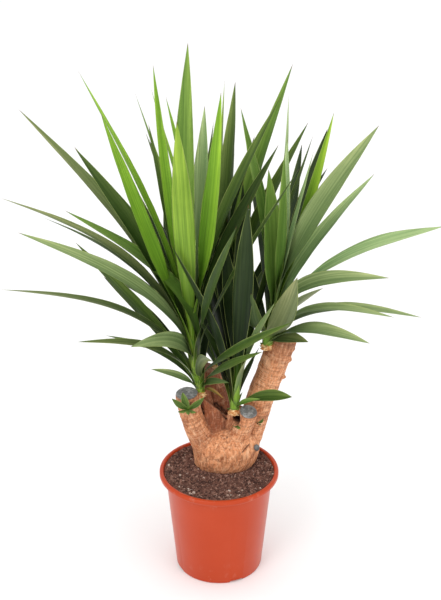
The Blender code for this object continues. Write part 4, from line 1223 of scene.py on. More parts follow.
# %% The leaf's finish
# shade is a painted-shade green; grey and silver are partly the leaves' own grey-green, partly a painted sheen
TONE_COLOURS = {"shade": (0.018, 0.036, 0.008), "deep": (0.048, 0.086, 0.018), "mid": (0.080, 0.138, 0.025),
                "olive": (0.148, 0.192, 0.062), "green": (0.132, 0.240, 0.038), "grey": (0.215, 0.295, 0.112),
                "silver": (0.300, 0.430, 0.180), "fresh": (0.190, 0.375, 0.028), "yellow": (0.220, 0.130, 0.024),
                "lime": (0.205, 0.360, 0.030)}
SHEATH_COLOURS = ((0.150, 0.330, 0.018, 1), (0.330, 0.460, 0.045, 1))
MARGIN_COLOUR = (0.44, 0.52, 0.16, 1)
NEEDLE_COLOUR = (0.16, 0.075, 0.03, 1)


def ramp_of(pad, value, stops):
    """A colour ramp with a stop for each (position, colour)."""
    ramp = pad.add("ShaderNodeValToRGB", {"Fac": value})
    while len(ramp.color_ramp.elements) < len(stops):
        ramp.color_ramp.elements.new(0.5)
    for element, (position, colour) in zip(ramp.color_ramp.elements, stops):
        element.position = position
        element.color = (*colour, 1)
    return ramp.outputs["Color"]


def leaf_tints(pad, across, along, clouds, bands, veins, own):
    """Shares of the blade and the tint that each one is multiplied by."""
    # painted shade darkens one half of the blade and painted light brightens the other, and which half it is differs
    # from leaf to leaf
    painted_side_shade_and_light = pad.times(across, pad.span(own, 0.35, 0.65, -1.0, 1.0))
    return [
        (pad.span(bands, 0.46, 0.66, 0.0, 0.60), (1.75, 1.55, 1.7)),
        (pad.span(bands, 0.48, 0.32, 0.0, 0.55), (0.50, 0.58, 0.55)),
        (pad.span(painted_side_shade_and_light, -0.9, 0.9, 0.0, 0.75, "SMOOTHSTEP"), (0.50, 0.60, 0.55)),
        (pad.span(painted_side_shade_and_light, 0.2, -0.9, 0.0, 0.60, "SMOOTHSTEP"), (1.35, 1.25, 1.3)),
        (pad.span(veins, 0.45, 0.75, 0.0, 0.45), (0.55, 0.60, 0.50)),
        (pad.span(clouds, 0.40, 0.70, 0.0, 0.40), (0.66, 0.72, 0.66)),
        (pad.span(own, 0.0, 1.0, 0.0, 0.40), (0.68, 0.72, 0.72)),
        # painted shade darkens the blade towards its root, where the crown shades it, and painted light brightens its
        # tip
        (pad.span(along, 0.48, 0.10, 0.0, 0.75, "SMOOTHSTEP"), (0.42, 0.50, 0.42)),
        (pad.span(along, 0.45, 0.90, 0.0, 0.90), (1.50, 1.35, 1.45)),
        (pad.times(pad.attribute("under"), 0.6), (1.25, 1.12, 1.6)),
    ]


def leaf_finish():
    material, pad, shader, place = new_finish("yucca_leaf", 0.42, 0.13)
    across, along = pad.attribute("across"), pad.attribute("along")
    half, leaf = pad.attribute("half"), pad.attribute("leaf")
    lanes = pad.xyz(pad.times(across, half), pad.times(pad.attribute("run"), 0.010), pad.times(leaf, 0.31))
    bands = pad.noise(lanes, 330.0, 3.0, 0.65)
    veins = pad.noise(lanes, 1300.0, 1.0, 0.5)
    clouds = pad.noise(place, 16.0, 3.0, 0.6)
    own = pad.add("ShaderNodeTexWhiteNoise", {"W": leaf}, noise_dimensions="1D").outputs["Value"]
    colour = ramp_of(pad, pad.attribute("tone"), [(TONES[name], TONE_COLOURS[name]) for name in TONES])
    for share, tint in leaf_tints(pad, across, along, clouds, bands, veins, own):
        colour = pad.blend(share, colour, pad.blend(1.0, colour, rgb(*tint), "MULTIPLY"))
    bleached = pad.times(pad.attribute("bleach"), pad.span(own, 0.0, 0.8, 0.55, 1.0))
    colour = pad.blend(bleached, colour, pad.blend(own, *SHEATH_COLOURS))
    from_edge = pad.times(pad.minus(1.0, pad.math("ABSOLUTE", across)), half)
    margin = pad.times(pad.span(from_edge, 1.2 * MM, 0.3 * MM, 0.0, 0.80), pad.span(half, 2 * MM, 10 * MM))
    colour = pad.blend(margin, colour, MARGIN_COLOUR)
    colour = pad.blend(pad.span(along, 0.978, 0.996), colour, NEEDLE_COLOUR)
    pad.feed(shader.inputs["Base Color"], colour)
    pad.feed(shader.inputs["Roughness"], pad.span(clouds, 0.3, 0.7, 0.30, 0.50))
    ridge = pad.plus(pad.times(bands, 0.7), pad.times(veins, 0.3))
    bump = pad.add("ShaderNodeBump", {"Strength": 0.65, "Distance": 0.6 * MM, "Height": ridge})
    pad.feed(shader.inputs["Normal"], bump.outputs["Normal"])
    return material


leaf_green = leaf_finish()
for shoot in SHOOTS:
    seat(grown(guides[shoot.name], blade_tree, Finish=leaf_green), "leaf_green", shoot.name)

# each sprout counts on from the last number, so leaves of two sprouts can share a number and its chance tone
last_number = number - 1
for sprout in SPROUTS:
    sprouted = enumerate(sprout_leaves(sprout, *seats[sprout.name]), last_number)
    courses = [sprout_course(leaf, own_number) for own_number, leaf in sprouted]
    piece = grown(guide_of(sprout.name + "_leaves", courses), blade_tree, Finish=leaf_green, Wave=0.3 * MM)
    seat(piece, "leaf_green", sprout.name)

# %% [markdown]
# ## Stems
# Under its leaves a shoot has a juicy green stem, no thicker than a thumb. It is a line swept by Geometry Nodes, with
# a slightly wavy radius.

# %% Geometry Nodes for the stems
STEM_POINTS = 48


def make_stem_tree():
    pad, inputs, outputs = new_tree(
        "stem_on_line", "GeometryNodeTree",
        {"Line": "Geometry", "Sides": 28, "Swell": 0.16, "Knots Per Metre": 150.0, "Finish": "Material"},
        {"Stem": "Geometry"})
    line = pad.geo("MeshToCurve", {"Mesh": inputs["Line"]})
    knots = pad.swing(pad.scaled(pad.geo("InputPosition"), inputs["Knots Per Metre"]), 1.0, 1.0)
    radius = pad.times(read(pad, "radius_here"), pad.plus(pad.times(knots, inputs["Swell"]), 1.0))
    ring = pad.geo("CurvePrimitiveCircle", {"Resolution": inputs["Sides"], "Radius": 1.0})
    stem = pad.geo("CurveToMesh", {"Curve": line, "Profile Curve": ring, "Scale": radius, "Fill Caps": True})
    pad.feed(outputs["Stem"], finished(pad, stem, inputs["Finish"]))
    return pad.tree


def stem_line(shoot):
    """The stem's centre line as a mesh of edges, with the radius stored on its points."""
    spots = smooth_points(shoot.stem[1:], STEM_POINTS)
    line = line_object(shoot.name + "_stem", [(x * MM, y * MM, z * MM) for x, y, z, _ in spots],
                       chained(0, len(spots)))
    radii = [r * STEM_SLIM * MM for _, _, _, r in spots]
    line.data.attributes.new("radius_here", "FLOAT", "POINT").data.foreach_set("value", radii)
    return line


def stem_finish():
    material, pad, shader, place = new_finish("green_stem", 0.45, 0.35)
    streaks = pad.noise(pad.by(place, (500, 500, 60)), 1.0, 2.0)
    blotches = pad.patches(place, 80.0, 0.4, 0.7, rgb(0.150, 0.330, 0.018), rgb(0.060, 0.150, 0.012))
    colour = pad.blend(pad.span(streaks, 0.5, 0.7, 0.0, 0.6), blotches["Colour"], rgb(0.30, 0.50, 0.05))
    pad.feed(shader.inputs["Base Color"], colour)
    pad.grain(shader, place, 600.0, 120.0, 0.5 * MM)
    return material


stem_tree = make_stem_tree()
stem_green = stem_finish()
for shoot in SHOOTS:
    piece = grown(stem_line(shoot), stem_tree, Finish=stem_green)
    seat(piece, "leaf_green", shoot.name)

# %% [markdown]
# ## Callus
# Where a stem breaks out of the old wood, a warty collar of pale callus has healed round it; its pale patches are
# partly the callus's own colour and partly painted highlights. Each one is a small ball that noise swells into warts,
# pressed flat along the stem.

# %% Lumps of callus
CALLUS_R = 11.5 * MM
CALLUS_FLAT = 0.66
CALLUS_WARTS = 5 * MM
CALLUS_OFFSET = Vector((0, -2.5 * MM, 5 * MM))


def mesh_of(name, bm):
    mesh = bpy.data.meshes.new(name)
    bm.to_mesh(mesh)
    bm.free()
    return mesh


def callus_finish():
    material, pad, shader, place = new_finish("callus", 0.75, 0.3)
    # pale callus patches, partly the callus's own colour and partly painted highlights
    pale_callus_and_highlights = pad.patches(place, 150.0, 0.40, 0.62, rgb(0.52, 0.20, 0.055), rgb(0.88, 0.62, 0.32))
    dry = pad.patches(pad.vector("ADD", place, (0.2, 0.5, 0.1)), 210.0, 0.56, 0.68, pale_callus_and_highlights["Colour"],
                      rgb(0.10, 0.035, 0.014), 0.85)
    pad.feed(shader.inputs["Base Color"], dry["Colour"])
    pad.grain(shader, place, 380.0, 380.0, 1 * MM, 0.8)
    return material


def callus_lump(shoot):
    """A warty collar round the place where the stem leaves the bark."""
    bm = bmesh.new()
    bmesh.ops.create_icosphere(bm, subdivisions=5, radius=CALLUS_R)
    middle = Vector(shoot.stem[1][:3]) * MM + CALLUS_OFFSET
    for vert in bm.verts:
        out = vert.co.normalized()
        warts = max(0.0, noise.noise(out * 2.6 + middle * 90)) + 0.5 * max(0.0, noise.noise(out * 6.5))
        vert.co = vert.co + out * (warts - 0.15) * CALLUS_WARTS
        vert.co.z *= CALLUS_FLAT
        vert.co += middle
    mesh = mesh_of("callus", bm)
    mesh.shade_smooth()
    return mesh


callus_pale = callus_finish()
for shoot in SHOOTS:
    mesh = callus_lump(shoot)
    mesh.materials.append(callus_pale)
    seat(object_of(shoot.name.replace("shoot", "callus"), mesh), "bark", "trunk")

# %% [markdown]
# ## The trunk's form
# For the finer trunk the same stump and limbs are swept again with many more rings. Every vertex remembers its place
# in the limb as if the limb stood straight: that "grain" lets rings run round each cane and fibres run along it,
# whichever way it leans. A voxel Remesh then melts the overlapping tubes into one skin, as wood grows together.

# %% Finer limbs melted into one skin
TRUNK_VOXEL = 1.6 * MM
FINE_SIDES = 64
FINE_RINGS = 60
SETTLE_FACTOR = 0.5
SETTLE_TIMES = 5
# share of russet colour and share of rings for each limb. The russet share is also painted light and shade: the
# tall cane, on the lit side, is paler as painted light, and the rear cane is darker as painted shade.
STUMP_LOOK = (0.12, 0.15)
LIMB_LOOKS = {"left_stub": (0.42, 0.80), "front_stub": (0.28, 0.70), "tall_cane": (0.10, 1.0),
              "oblique_stub": (1.05, 0.30), "rear_cane": (1.10, 0.60), "side_knot": (0.45, 0.20)}
# points and look of short ridges that fill the forks and stand out as knots
WEBS = [([(-16, 38, 288, 20), (-23, 42, 330, 15), (-25, 45, 360, 11), (-26, 47, 384, 7)], (0.95, 0.2)),
        ([(16, 34, 282, 20), (24, 30, 318, 11), (30, 26, 342, 6)], (0.60, 0.2)),
        ([(38, 36, 296, 12), (39, 33, 322, 11), (38, 30, 346, 8)], (1.30, 0.2)),
        ([(130, 44, 440, 5), (139, 42, 447, 4.5), (142, 41, 450, 3)], (0.70, 0.2)),
        ([(108, 44, 404, 5), (127, 40, 409, 5), (130, 39, 411, 3)], (0.50, 0.2)),
        ([(122, 46, 462, 6), (143, 41, 470, 5.5), (146, 40, 472, 3)], (0.60, 0.2))]


def ring_round(spot, aside, other, reach):
    """The places round a spot of the limb, each with its (x, y) as if the limb stood straight."""
    made = []
    for k in range(FINE_SIDES):
        turn = 2 * math.pi * k / FINE_SIDES
        x, y = reach * math.cos(turn), reach * math.sin(turn)
        made.append((spot + aside * x + other * y, x, y))
    return made


def add_limb(bm, points, look, stump=False):
    """Adds a tube of fine rings to the mesh and hands back its vertices, edges and faces."""
    grain = bm.verts.layers.float_vector["grain"]
    russet, ringed = bm.verts.layers.float["russet"], bm.verts.layers.float["ringed"]
    line = smooth_points(points, FINE_RINGS)
    spots = [Vector(p[:3]) * MM for p in line]
    aside = Vector((1, 0, 0))
    length, rings = 0.0, []
    for i, spot in enumerate(spots):
        tangent = (spots[min(i + 1, len(spots) - 1)] - spots[max(i - 1, 0)]).normalized()
        aside = (aside - tangent * aside.dot(tangent)).normalized()
        length += (spot - spots[i - 1]).length if i else 0.0
        ring = []
        for place, x, y in ring_round(spot, aside, tangent.cross(aside), line[i][3] * MM):
            vert = bm.verts.new(broadened(place) if stump else place)
            vert[grain] = (x, y, length)
            vert[russet], vert[ringed] = look
            ring.append(vert)
        rings.append(ring)
    faces = [bm.faces.new(rings[0][::-1]), bm.faces.new(rings[-1])] + walls(bm, rings)
    edges = dict.fromkeys(edge for face in faces for edge in face.edges)
    return [vert for ring in rings for vert in ring] + list(edges) + faces


def trunk_skeleton():
    """The stump and all limbs, sawn off, in one mesh of overlapping tubes."""
    bm = bmesh.new()
    bm.verts.layers.float_vector.new("grain")
    bm.verts.layers.float.new("russet")
    bm.verts.layers.float.new("ringed")
    cut = bm.faces.layers.float.new("cut")
    add_limb(bm, STUMP, STUMP_LOOK, stump=True)
    for limb in LIMBS:
        for face in sawn_off(bm, add_limb(bm, limb.points, LIMB_LOOKS[limb.name]), limb):
            face[cut] = 1.0
    for points, look in WEBS:
        add_limb(bm, points, look)
    return object_of("trunk_skeleton", mesh_of("trunk_skeleton", bm))


skeleton = trunk_skeleton()
trunk = object_of("cane_trunk", skeleton.data.copy())
remesh = trunk.modifiers.new("melt", "REMESH")
remesh.mode = "VOXEL"
remesh.voxel_size = TRUNK_VOXEL
settle = trunk.modifiers.new("settle", "SMOOTH")
settle.factor = SETTLE_FACTOR
settle.iterations = SETTLE_TIMES
apply_modifiers(trunk)
print("trunk skin:", len(trunk.data.vertices), "points")

# %% [markdown]
# ## Bark relief
# A yucca cane has thin rings where its leaves once sat, and between them a fibrous, flaky skin. The tree fetches the
# grain from the nearest point of the skeleton and pushes the skin in and out by three noises: one squeezed along the
# limb for the rings, one drawn out along it for the fibres, and an even one for lumps. Cracks, the shadowed gap beside
# the broken stub and the hollow between two stubs are pushed in where lines of sight meet the bark, and the tree
# stores where they lie, so that painted shade can make them nearly black. It also stores how deep each point lies,
# so that the colour darkens in the dips, and where a valley runs, so that painted shade can darken the valleys.

# %% Geometry Nodes for the bark
SOIL_TOP_Z = 213 * MM
VALLEY_BLUR = 90
# how often each attribute is blurred over the skin, so that one limb's look runs into the next one's
BLURS = {"russet": 36, "ringed": 20, "cut": 2}
# the hollow is narrow, about twice as tall as wide, and reaches furthest in along the line of sight, which dips
# by this angle
SIGHT_TILT = math.radians(25.8)
HOLLOW_SHAPE = (1.15, 0.22, 0.55)
HOLLOW_EDGE = 9 * MM
HOLLOW_FLOOR = 5 * MM
CROOKED_BY = 7 * MM
# how fine the relief is across the limb, twice, and along it
RING_GRAIN = (26, 26, 300)
FIBRE_GRAIN = (230, 230, 46)


def fetched(pad, source, name, kind="FLOAT"):
    """The value that the skeleton has nearest to each point of the skin."""
    return pad.add("GeometryNodeSampleNearestSurface", {"Mesh": source, "Value": read(pad, name, kind)},
                   data_type=kind).outputs["Value"]


def blurred(pad, value, times, kind="FLOAT"):
    return pad.add("GeometryNodeBlurAttribute", {"Value": value, "Iterations": times}, data_type=kind).outputs["Value"]


def geometry_of(pad, obj):
    return pad.add("GeometryNodeObjectInfo", {"Object": obj}).outputs["Geometry"]


def bark_grain(pad, inputs, place):
    """How far rings and fibres push the bark in or out, and the same for lumps."""
    grain, ringed = read(pad, "grain", "FLOAT_VECTOR"), read(pad, "ringed")
    bark = pad.minus(1.0, read(pad, "cut"), clamp=True)
    rings = pad.swing(pad.by(grain, RING_GRAIN), 1.0, 2.0)
    fibres = pad.swing(pad.by(grain, FIBRE_GRAIN), 1.0, 3.0, 0.6)
    ring_push = pad.times(pad.times(rings, ringed), inputs["Ring Depth"])
    fibre_push = pad.times(pad.times(fibres, pad.minus(1.25, ringed)), inputs["Fibre Depth"])
    fine = pad.times(pad.times(pad.plus(ring_push, fibre_push), 2.0), bark)
    lumps = pad.plus(pad.swing(place, 40.0, 3.0, 0.55), pad.times(pad.swing(place, 125.0, 2.0, 0.55), 0.40))
    return fine, pad.times(lumps, inputs["Lump Depth"])


def crack_mask(pad, inputs, place):
    """1 in the middle of a crack and 0 beside it. The lines are made crooked by noise."""
    sway = pad.add("ShaderNodeTexNoise", {"Vector": place, "Scale": 90.0, "Detail": 1.0}).outputs["Color"]
    crooked = pad.vector("ADD", place, pad.scaled(pad.vector("SUBTRACT", sway, (0.5, 0.5, 0.5)), CROOKED_BY))
    near = pad.add("GeometryNodeProximity", {"Geometry": geometry_of(pad, inputs["Cracks"]),
                                             "Sample Position": crooked}, target_element="EDGES")
    return pad.span(near.outputs["Distance"], 0.0, inputs["Crack Width"], 1.0, 0.0, "SMOOTHSTEP")


def hollow_mask(pad, inputs, place):
    away = pad.add("ShaderNodeVectorRotate",
                   {"Vector": pad.vector("SUBTRACT", place, inputs["Hollow At"]), "Angle": SIGHT_TILT},
                   rotation_type="X_AXIS").outputs["Vector"]
    return pad.span(pad.length(pad.by(away, HOLLOW_SHAPE)), HOLLOW_EDGE, HOLLOW_FLOOR, ease="SMOOTHSTEP")


def make_bark_tree():
    pad, inputs, outputs = new_tree(
        "bark_relief", "GeometryNodeTree",
        {"Skin": "Geometry", "Skeleton": "Object", "Cracks": "Object", "Ring Depth": 1.0 * MM,
         "Fibre Depth": 1.5 * MM, "Lump Depth": 4.2 * MM, "Crack Depth": 3.4 * MM, "Crack Width": 3.2 * MM,
         "Hollow At": "Vector", "Hollow Depth": 13 * MM, "Finish": "Material"},
        {"Bark": "Geometry"})
    source = geometry_of(pad, inputs["Skeleton"])
    skin = store(pad, inputs["Skin"], "grain", fetched(pad, source, "grain", "FLOAT_VECTOR"), "FLOAT_VECTOR")
    for name in BLURS:
        skin = store(pad, skin, name, fetched(pad, source, name))
    for name, times in BLURS.items():
        skin = store(pad, skin, name, blurred(pad, read(pad, name), times))
    place = pad.geo("InputPosition")
    normal = pad.add("GeometryNodeInputNormal").outputs["Normal"]
    fine, lumps = bark_grain(pad, inputs, place)
    crack, hollow = crack_mask(pad, inputs, place), hollow_mask(pad, inputs, place)
    skin = store(pad, skin, "dip", pad.times(fine, 1000.0))
    # painted shade: the cracks, the gap beside the broken stub and the hollow are stored to be painted nearly black
    skin = store(pad, skin, "dark", pad.math("MAXIMUM", crack, hollow))
    # painted shade: how far each point lies below the evened skin, so that the colour darkens in the valleys
    evened = blurred(pad, place, VALLEY_BLUR, "FLOAT_VECTOR")
    depth = pad.vector("DOT_PRODUCT", normal, pad.vector("SUBTRACT", evened, place), output="Value")
    skin = store(pad, skin, "valley", pad.span(depth, 0.6 * MM, 4.2 * MM))
    push = pad.minus(pad.plus(fine, lumps), pad.times(crack, inputs["Crack Depth"]))
    push = pad.minus(push, pad.times(hollow, inputs["Hollow Depth"]))
    push = pad.times(push, pad.span(pad.height(place), SOIL_TOP_Z - 8 * MM, SOIL_TOP_Z + 6 * MM))
    skin = pad.geo("SetPosition", {"Geometry": skin, "Offset": pad.scaled(normal, push)})
    pad.feed(outputs["Bark"], finished(pad, skin, inputs["Finish"]))
    return pad.tree


# lines of sight to the hollow between two stubs and to the cracks in the bark, in millimetres; the last three
# trace the shadowed gap along the broken stub's edge, and all are painted nearly black as painted shade
HOLLOW_AIM = (35, 11, 333)
CRACKS = [[(32, 12, 324), (28, 10, 312), (21, 8, 300), (16, 6, 290)],
          [(60, 4, 274), (54, 2, 266), (48, 0, 259)],
          [(-34, 24, 352), (-31, 26, 338), (-28, 28, 322), (-23, 30, 306)],
          [(-27, 45, 368), (-19, 45, 357), (-10, 45, 346), (-2, 45, 334), (6, 45, 323), (13, 45, 312),
           (18, 45, 303)],
          [(-6, 45, 346), (1, 45, 338), (10, 45, 327), (17, 45, 312), (19, 45, 305)],
          [(6, 45, 336), (14, 45, 327), (19, 45, 318), (21, 45, 308)]]
CRACK_STEPS = 8


def on_bark(aim):
    """Where the line of sight to the aim meets the bark."""
    return seat_of(Sprout("", aim, []), wood_trees)[0]


def crack_lines():
    """The cracks as one mesh of edges that lie on the bark."""
    spots, edges = [], []
    for crack in CRACKS:
        first = len(spots)
        for a, b in zip(crack, crack[1:]):
            spots += [on_bark(Vector(a).lerp(Vector(b), i / CRACK_STEPS)) for i in range(CRACK_STEPS)]
        spots.append(on_bark(crack[-1]))
        edges += chained(first, len(spots) - first)
    return line_object("crack_lines", [tuple(spot) for spot in spots], edges)


cracks = crack_lines()
print("crack lines:", len(cracks.data.edges), "edges")

# %% [markdown]
# ## Bark colour
# The bark goes from fair tan to russet, with pale and rusty patches. From limb to limb the russet share is also
# painted light and shade: paler on the tall cane at the lit side and darker on the rear cane. On top come dark streaks
# and flecks along the grain, leaf scars as lines round the canes, darker bark high on the tall cane below the crown,
# and painted shade that darkens the valleys and makes the cracks and the hollow nearly black. The sawn ends have a
# colour of their own, and the bark is darker just above the soil.

# %% The bark's finish
# painted shade for the cracks, the gap beside the broken stub and the hollow
NEAR_BLACK_SHADE = (0.022, 0.010, 0.007, 1)
# how fine the markings are across the limb, twice, and along it
STREAK_GRAIN = (330, 330, 44)
LINE_GRAIN = (34, 34, 430)
FLECK_GRAIN = (240, 240, 120)


def bark_ground(pad, place, grain, mottle):
    """Tan and russet bark with pale and rusty patches, and how fair each spot is, partly as painted light and shade.
    """
    red = pad.span(pad.plus(pad.attribute("russet"), pad.times(pad.minus(mottle, 0.5), 1.7)), 0.15, 0.95)
    fair_and_lit = pad.minus(1.0, pad.times(red, 0.60))
    tan = pad.blend(red, rgb(0.74, 0.305, 0.135), rgb(0.250, 0.070, 0.028))
    pale = pad.patches(pad.by(grain, (1, 1, 0.7)), 58.0, 0.50, 0.70, tan, rgb(0.92, 0.52, 0.29),
                       pad.times(fair_and_lit, 0.72))
    rust = pad.patches(pad.vector("ADD", place, (0.4, 0.2, 0.7)), 74.0, 0.51, 0.68, pale["Colour"],
                       rgb(0.40, 0.115, 0.038), 0.80)
    return rust["Colour"], fair_and_lit


def bark_marks(pad, place, ringed, fair_and_lit, mottle, noises):
    """(share, colour) of every mark, from the lowest layer up."""
    streaks, lines, flecks = noises
    height = pad.height(place)
    sawn = pad.patches(place, 160.0, 0.35, 0.7, rgb(0.24, 0.098, 0.048), rgb(0.42, 0.21, 0.12))
    # the bark darker high on the tall cane, below the crown, varied along the grain
    darker_high_up = pad.times(pad.span(height, 446 * MM, 478 * MM, 0.0, 0.75), pad.span(streaks, 0.30, 0.60, 0.4, 1.0))
    return [
        (pad.span(streaks, 0.53, 0.68, 0.0, 0.66), rgb(0.15, 0.052, 0.022)),
        (pad.times(fair_and_lit, pad.span(streaks, 0.45, 0.33, 0.0, 0.55)), rgb(0.90, 0.62, 0.40)),
        (pad.times(pad.span(lines, 0.54, 0.66), pad.times(ringed, 0.80)), rgb(0.25, 0.095, 0.045)),
        (pad.times(pad.span(lines, 0.44, 0.32), pad.times(ringed, 0.45)), rgb(0.80, 0.52, 0.34)),
        (pad.times(fair_and_lit, pad.span(flecks, 0.53, 0.72, 0.0, 0.60)), rgb(0.88, 0.56, 0.35)),
        (pad.span(flecks, 0.46, 0.30, 0.0, 0.65), rgb(0.22, 0.078, 0.034)),
        (darker_high_up, rgb(0.20, 0.070, 0.035)),
        (pad.span(pad.attribute("dip"), 0.05, -0.60, 0.0, 0.62), rgb(0.13, 0.046, 0.021)),
        (pad.attribute("cut"), sawn["Colour"]),
        # painted shade in the valleys between the limbs
        (pad.times(pad.attribute("valley"), pad.span(mottle, 0.35, 0.65, 0.35, 0.90)), rgb(0.130, 0.040, 0.018)),
        # the bark darker just above the soil
        (pad.span(height, SOIL_TOP_Z + 13 * MM, SOIL_TOP_Z + 1 * MM, 0.0, 0.45), rgb(0.20, 0.090, 0.050)),
        # painted shade that makes the cracks, the gap beside the broken stub and the hollow nearly black
        (pad.times(pad.attribute("dark"), 0.93), NEAR_BLACK_SHADE),
    ]


def bark_finish():
    material, pad, shader, place = new_finish("cane_bark", 0.80, 0.3)
    grain, ringed = pad.attribute("grain", "Vector"), pad.attribute("ringed")
    mottle = pad.noise(place, 26.0, 4.0, 0.65)
    streaks = pad.noise(pad.by(grain, STREAK_GRAIN), 1.0, 4.0, 0.65)
    lines = pad.noise(pad.by(grain, LINE_GRAIN), 1.0, 3.0, 0.6)
    flecks = pad.noise(pad.by(grain, FLECK_GRAIN), 1.0, 4.0, 0.7)
    colour, fair_and_lit = bark_ground(pad, place, grain, mottle)
    for share, mark in bark_marks(pad, place, ringed, fair_and_lit, mottle, (streaks, lines, flecks)):
        colour = pad.blend(share, colour, mark)
    pad.feed(shader.inputs["Base Color"], colour)
    coarse = pad.group("grain", {"Vector": grain, "Across": 420.0, "Along": 80.0, "Detail": 4.0})["Height"]
    relief = pad.plus(pad.times(coarse, 0.8),
                      pad.plus(pad.times(flecks, 0.55), pad.times(pad.times(lines, ringed), 0.6)))
    bump = pad.add("ShaderNodeBump", {"Strength": 0.9, "Distance": 1.7 * MM, "Height": relief})
    pad.feed(shader.inputs["Normal"], bump.outputs["Normal"])
    return material


grown(trunk, make_bark_tree(), Skeleton=skeleton, Cracks=cracks, Hollow_At=on_bark(HOLLOW_AIM), Finish=bark_finish())
for guide in (skeleton, cracks):
    bpy.data.objects.remove(guide, do_unlink=True)
seat(trunk, "bark", "trunk")

# %% [markdown]
# ## Sealed cuts
# Growers seal a sawn cane with wax so that it doesn't dry out. The seal is a thin grey cake, a little domed and
# uneven, with a rolled edge, and darker on the small side knot. It is the disc of the plain model with more rings,
# roughened by noise.

# %% Wax seals
WAX_FINE_SIDES = 72
WAX_FINE_RINGS = [(0.97, 0.0), (1.0, 0.25 * WAX_T), (1.0, 0.60 * WAX_T), (0.97, 0.88 * WAX_T), (0.92, WAX_T),
                  (0.84, 1.04 * WAX_T), (0.74, 1.0 * WAX_T), (0.62, 1.02 * WAX_T), (0.50, 1.08 * WAX_T),
                  (0.38, 1.05 * WAX_T), (0.26, 1.1 * WAX_T), (0.14, 1.08 * WAX_T), (0.04, 1.1 * WAX_T)]
WAX_BUMPS = 0.7 * MM
WAX_BUMP_SCALE = 130
SMALL_CAKE_R = 10 * MM


def wax_finish(name, shade):
    material, pad, shader, place = new_finish(name, 0.58, 0.4)
    light = pad.patches(place, 95.0, 0.42, 0.66, rgb(0.150 * shade, 0.150 * shade, 0.148 * shade),
                        rgb(0.36 * shade, 0.355 * shade, 0.35 * shade))
    dark = pad.patches(place, 240.0, 0.56, 0.70, light["Colour"], rgb(0.050, 0.048, 0.045), 0.8)
    pad.feed(shader.inputs["Base Color"], dark["Colour"])
    pad.grain(shader, place, 420.0, 420.0, 0.6 * MM, 0.7)
    return material


wax_grey = wax_finish("sealing_wax", 1.0)
wax_dark = wax_finish("old_wax", 0.45)
for name, radius in WAX:
    cake = wax_disc(limbs[name], radius, WAX_FINE_SIDES, WAX_FINE_RINGS)
    cake.normal_update()
    share = 0.5 if radius < SMALL_CAKE_R else 1.0
    for vert in cake.verts:
        vert.co += vert.normal * WAX_BUMPS * noise.noise(vert.co * WAX_BUMP_SCALE) * share
    mesh = mesh_of("seal_" + name, cake)
    mesh.materials.append(wax_dark if name == "side_knot" else wax_grey)
    mesh.shade_smooth()
    seat(object_of("seal_" + name, mesh), "grey_wax", "wax_" + name)

# %% [markdown]
# ## Soil
# Potting soil is coarse peat: dark crumbs of many sizes, bits of bark and a few pale grains. A turned bed fills the
# pot, noise makes its top uneven, a low bank raises its edge, and Geometry Nodes scatter crumbs over it. Each crumb
# is a small faceted ball, squashed and turned at random, with a tone of its own that the finish reads.

# %% Geometry Nodes for the soil
SOIL_STEPS = 120
SOIL_RINGS = 30
SOIL_RELIEF = 5.0 * MM
SOIL_BANK = 3.6 * MM
POINTS_INSIDE_POT = 9
# an oval round the foot of the trunk that stays free of crumbs
TRUNK_FOOT = (0.009, 0.037, 0)
TRUNK_OVAL = (1, 1.15, 0)
TRUNK_REACH = 46 * MM
# for each kind of grain, the input that says how many lie on a square metre, and its size in crumb sizes
GRAINS = {"Crumbs Per Area": 1.0, "Chips Per Area": 0.42}
LEAST_GRAIN, MOST_GRAIN = (0.45, 0.45, 0.35), (1.6, 1.4, 1.1)
LEAST_TURN, MOST_TURN = (-0.5, -0.5, 0.0), (0.5, 0.5, 6.3)


def soil_bed():
    sides = [(max(0, r - GAP), z + GAP) for r, z in pot_profile()[:POINTS_INSIDE_POT]]
    edge_r = sides[-1][0]
    top = [(edge_r * (SOIL_RINGS - i) / SOIL_RINGS, SOIL_TOP_Z) for i in range(SOIL_RINGS + 1)]
    return turned("potting_soil", top[::-1] + sides[::-1], SOIL_STEPS)


def soil_lift(pad, inputs, place, reach):
    """How far the top of the bed is raised: a bank along the pot and small hills everywhere else."""
    near_top = pad.span(pad.height(place), SOIL_TOP_Z - 3 * MM, SOIL_TOP_Z - 1 * MM)
    on_top = pad.times(near_top, pad.span(reach, COLLAR_R - 1 * MM, COLLAR_R - 7 * MM))
    hills = pad.plus(pad.swing(place, 45.0), pad.times(pad.swing(place, 230.0, 3.0), 0.8))
    bank = pad.times(near_top, pad.span(reach, COLLAR_R - 20 * MM, COLLAR_R - 2 * MM, 0.0, SOIL_BANK))
    return pad.plus(bank, pad.times(pad.times(hills, inputs["Relief"]), on_top))


def open_top(pad, place, reach):
    """1 where crumbs may lie: on top, inside the collar and off the trunk."""
    trunk_off = pad.by(pad.vector("SUBTRACT", place, TRUNK_FOOT), TRUNK_OVAL)
    free = pad.times(pad.math("LESS_THAN", reach, COLLAR_R - 4 * MM),
                     pad.math("GREATER_THAN", pad.length(trunk_off), TRUNK_REACH))
    return pad.times(free, pad.math("GREATER_THAN", pad.height(place), SOIL_TOP_Z - 6 * MM))


def drawn(pad, seed, least, most):
    return pad.add("FunctionNodeRandomValue", {"Seed": seed, 0: least, 1: most}, data_type="FLOAT_VECTOR").outputs[0]


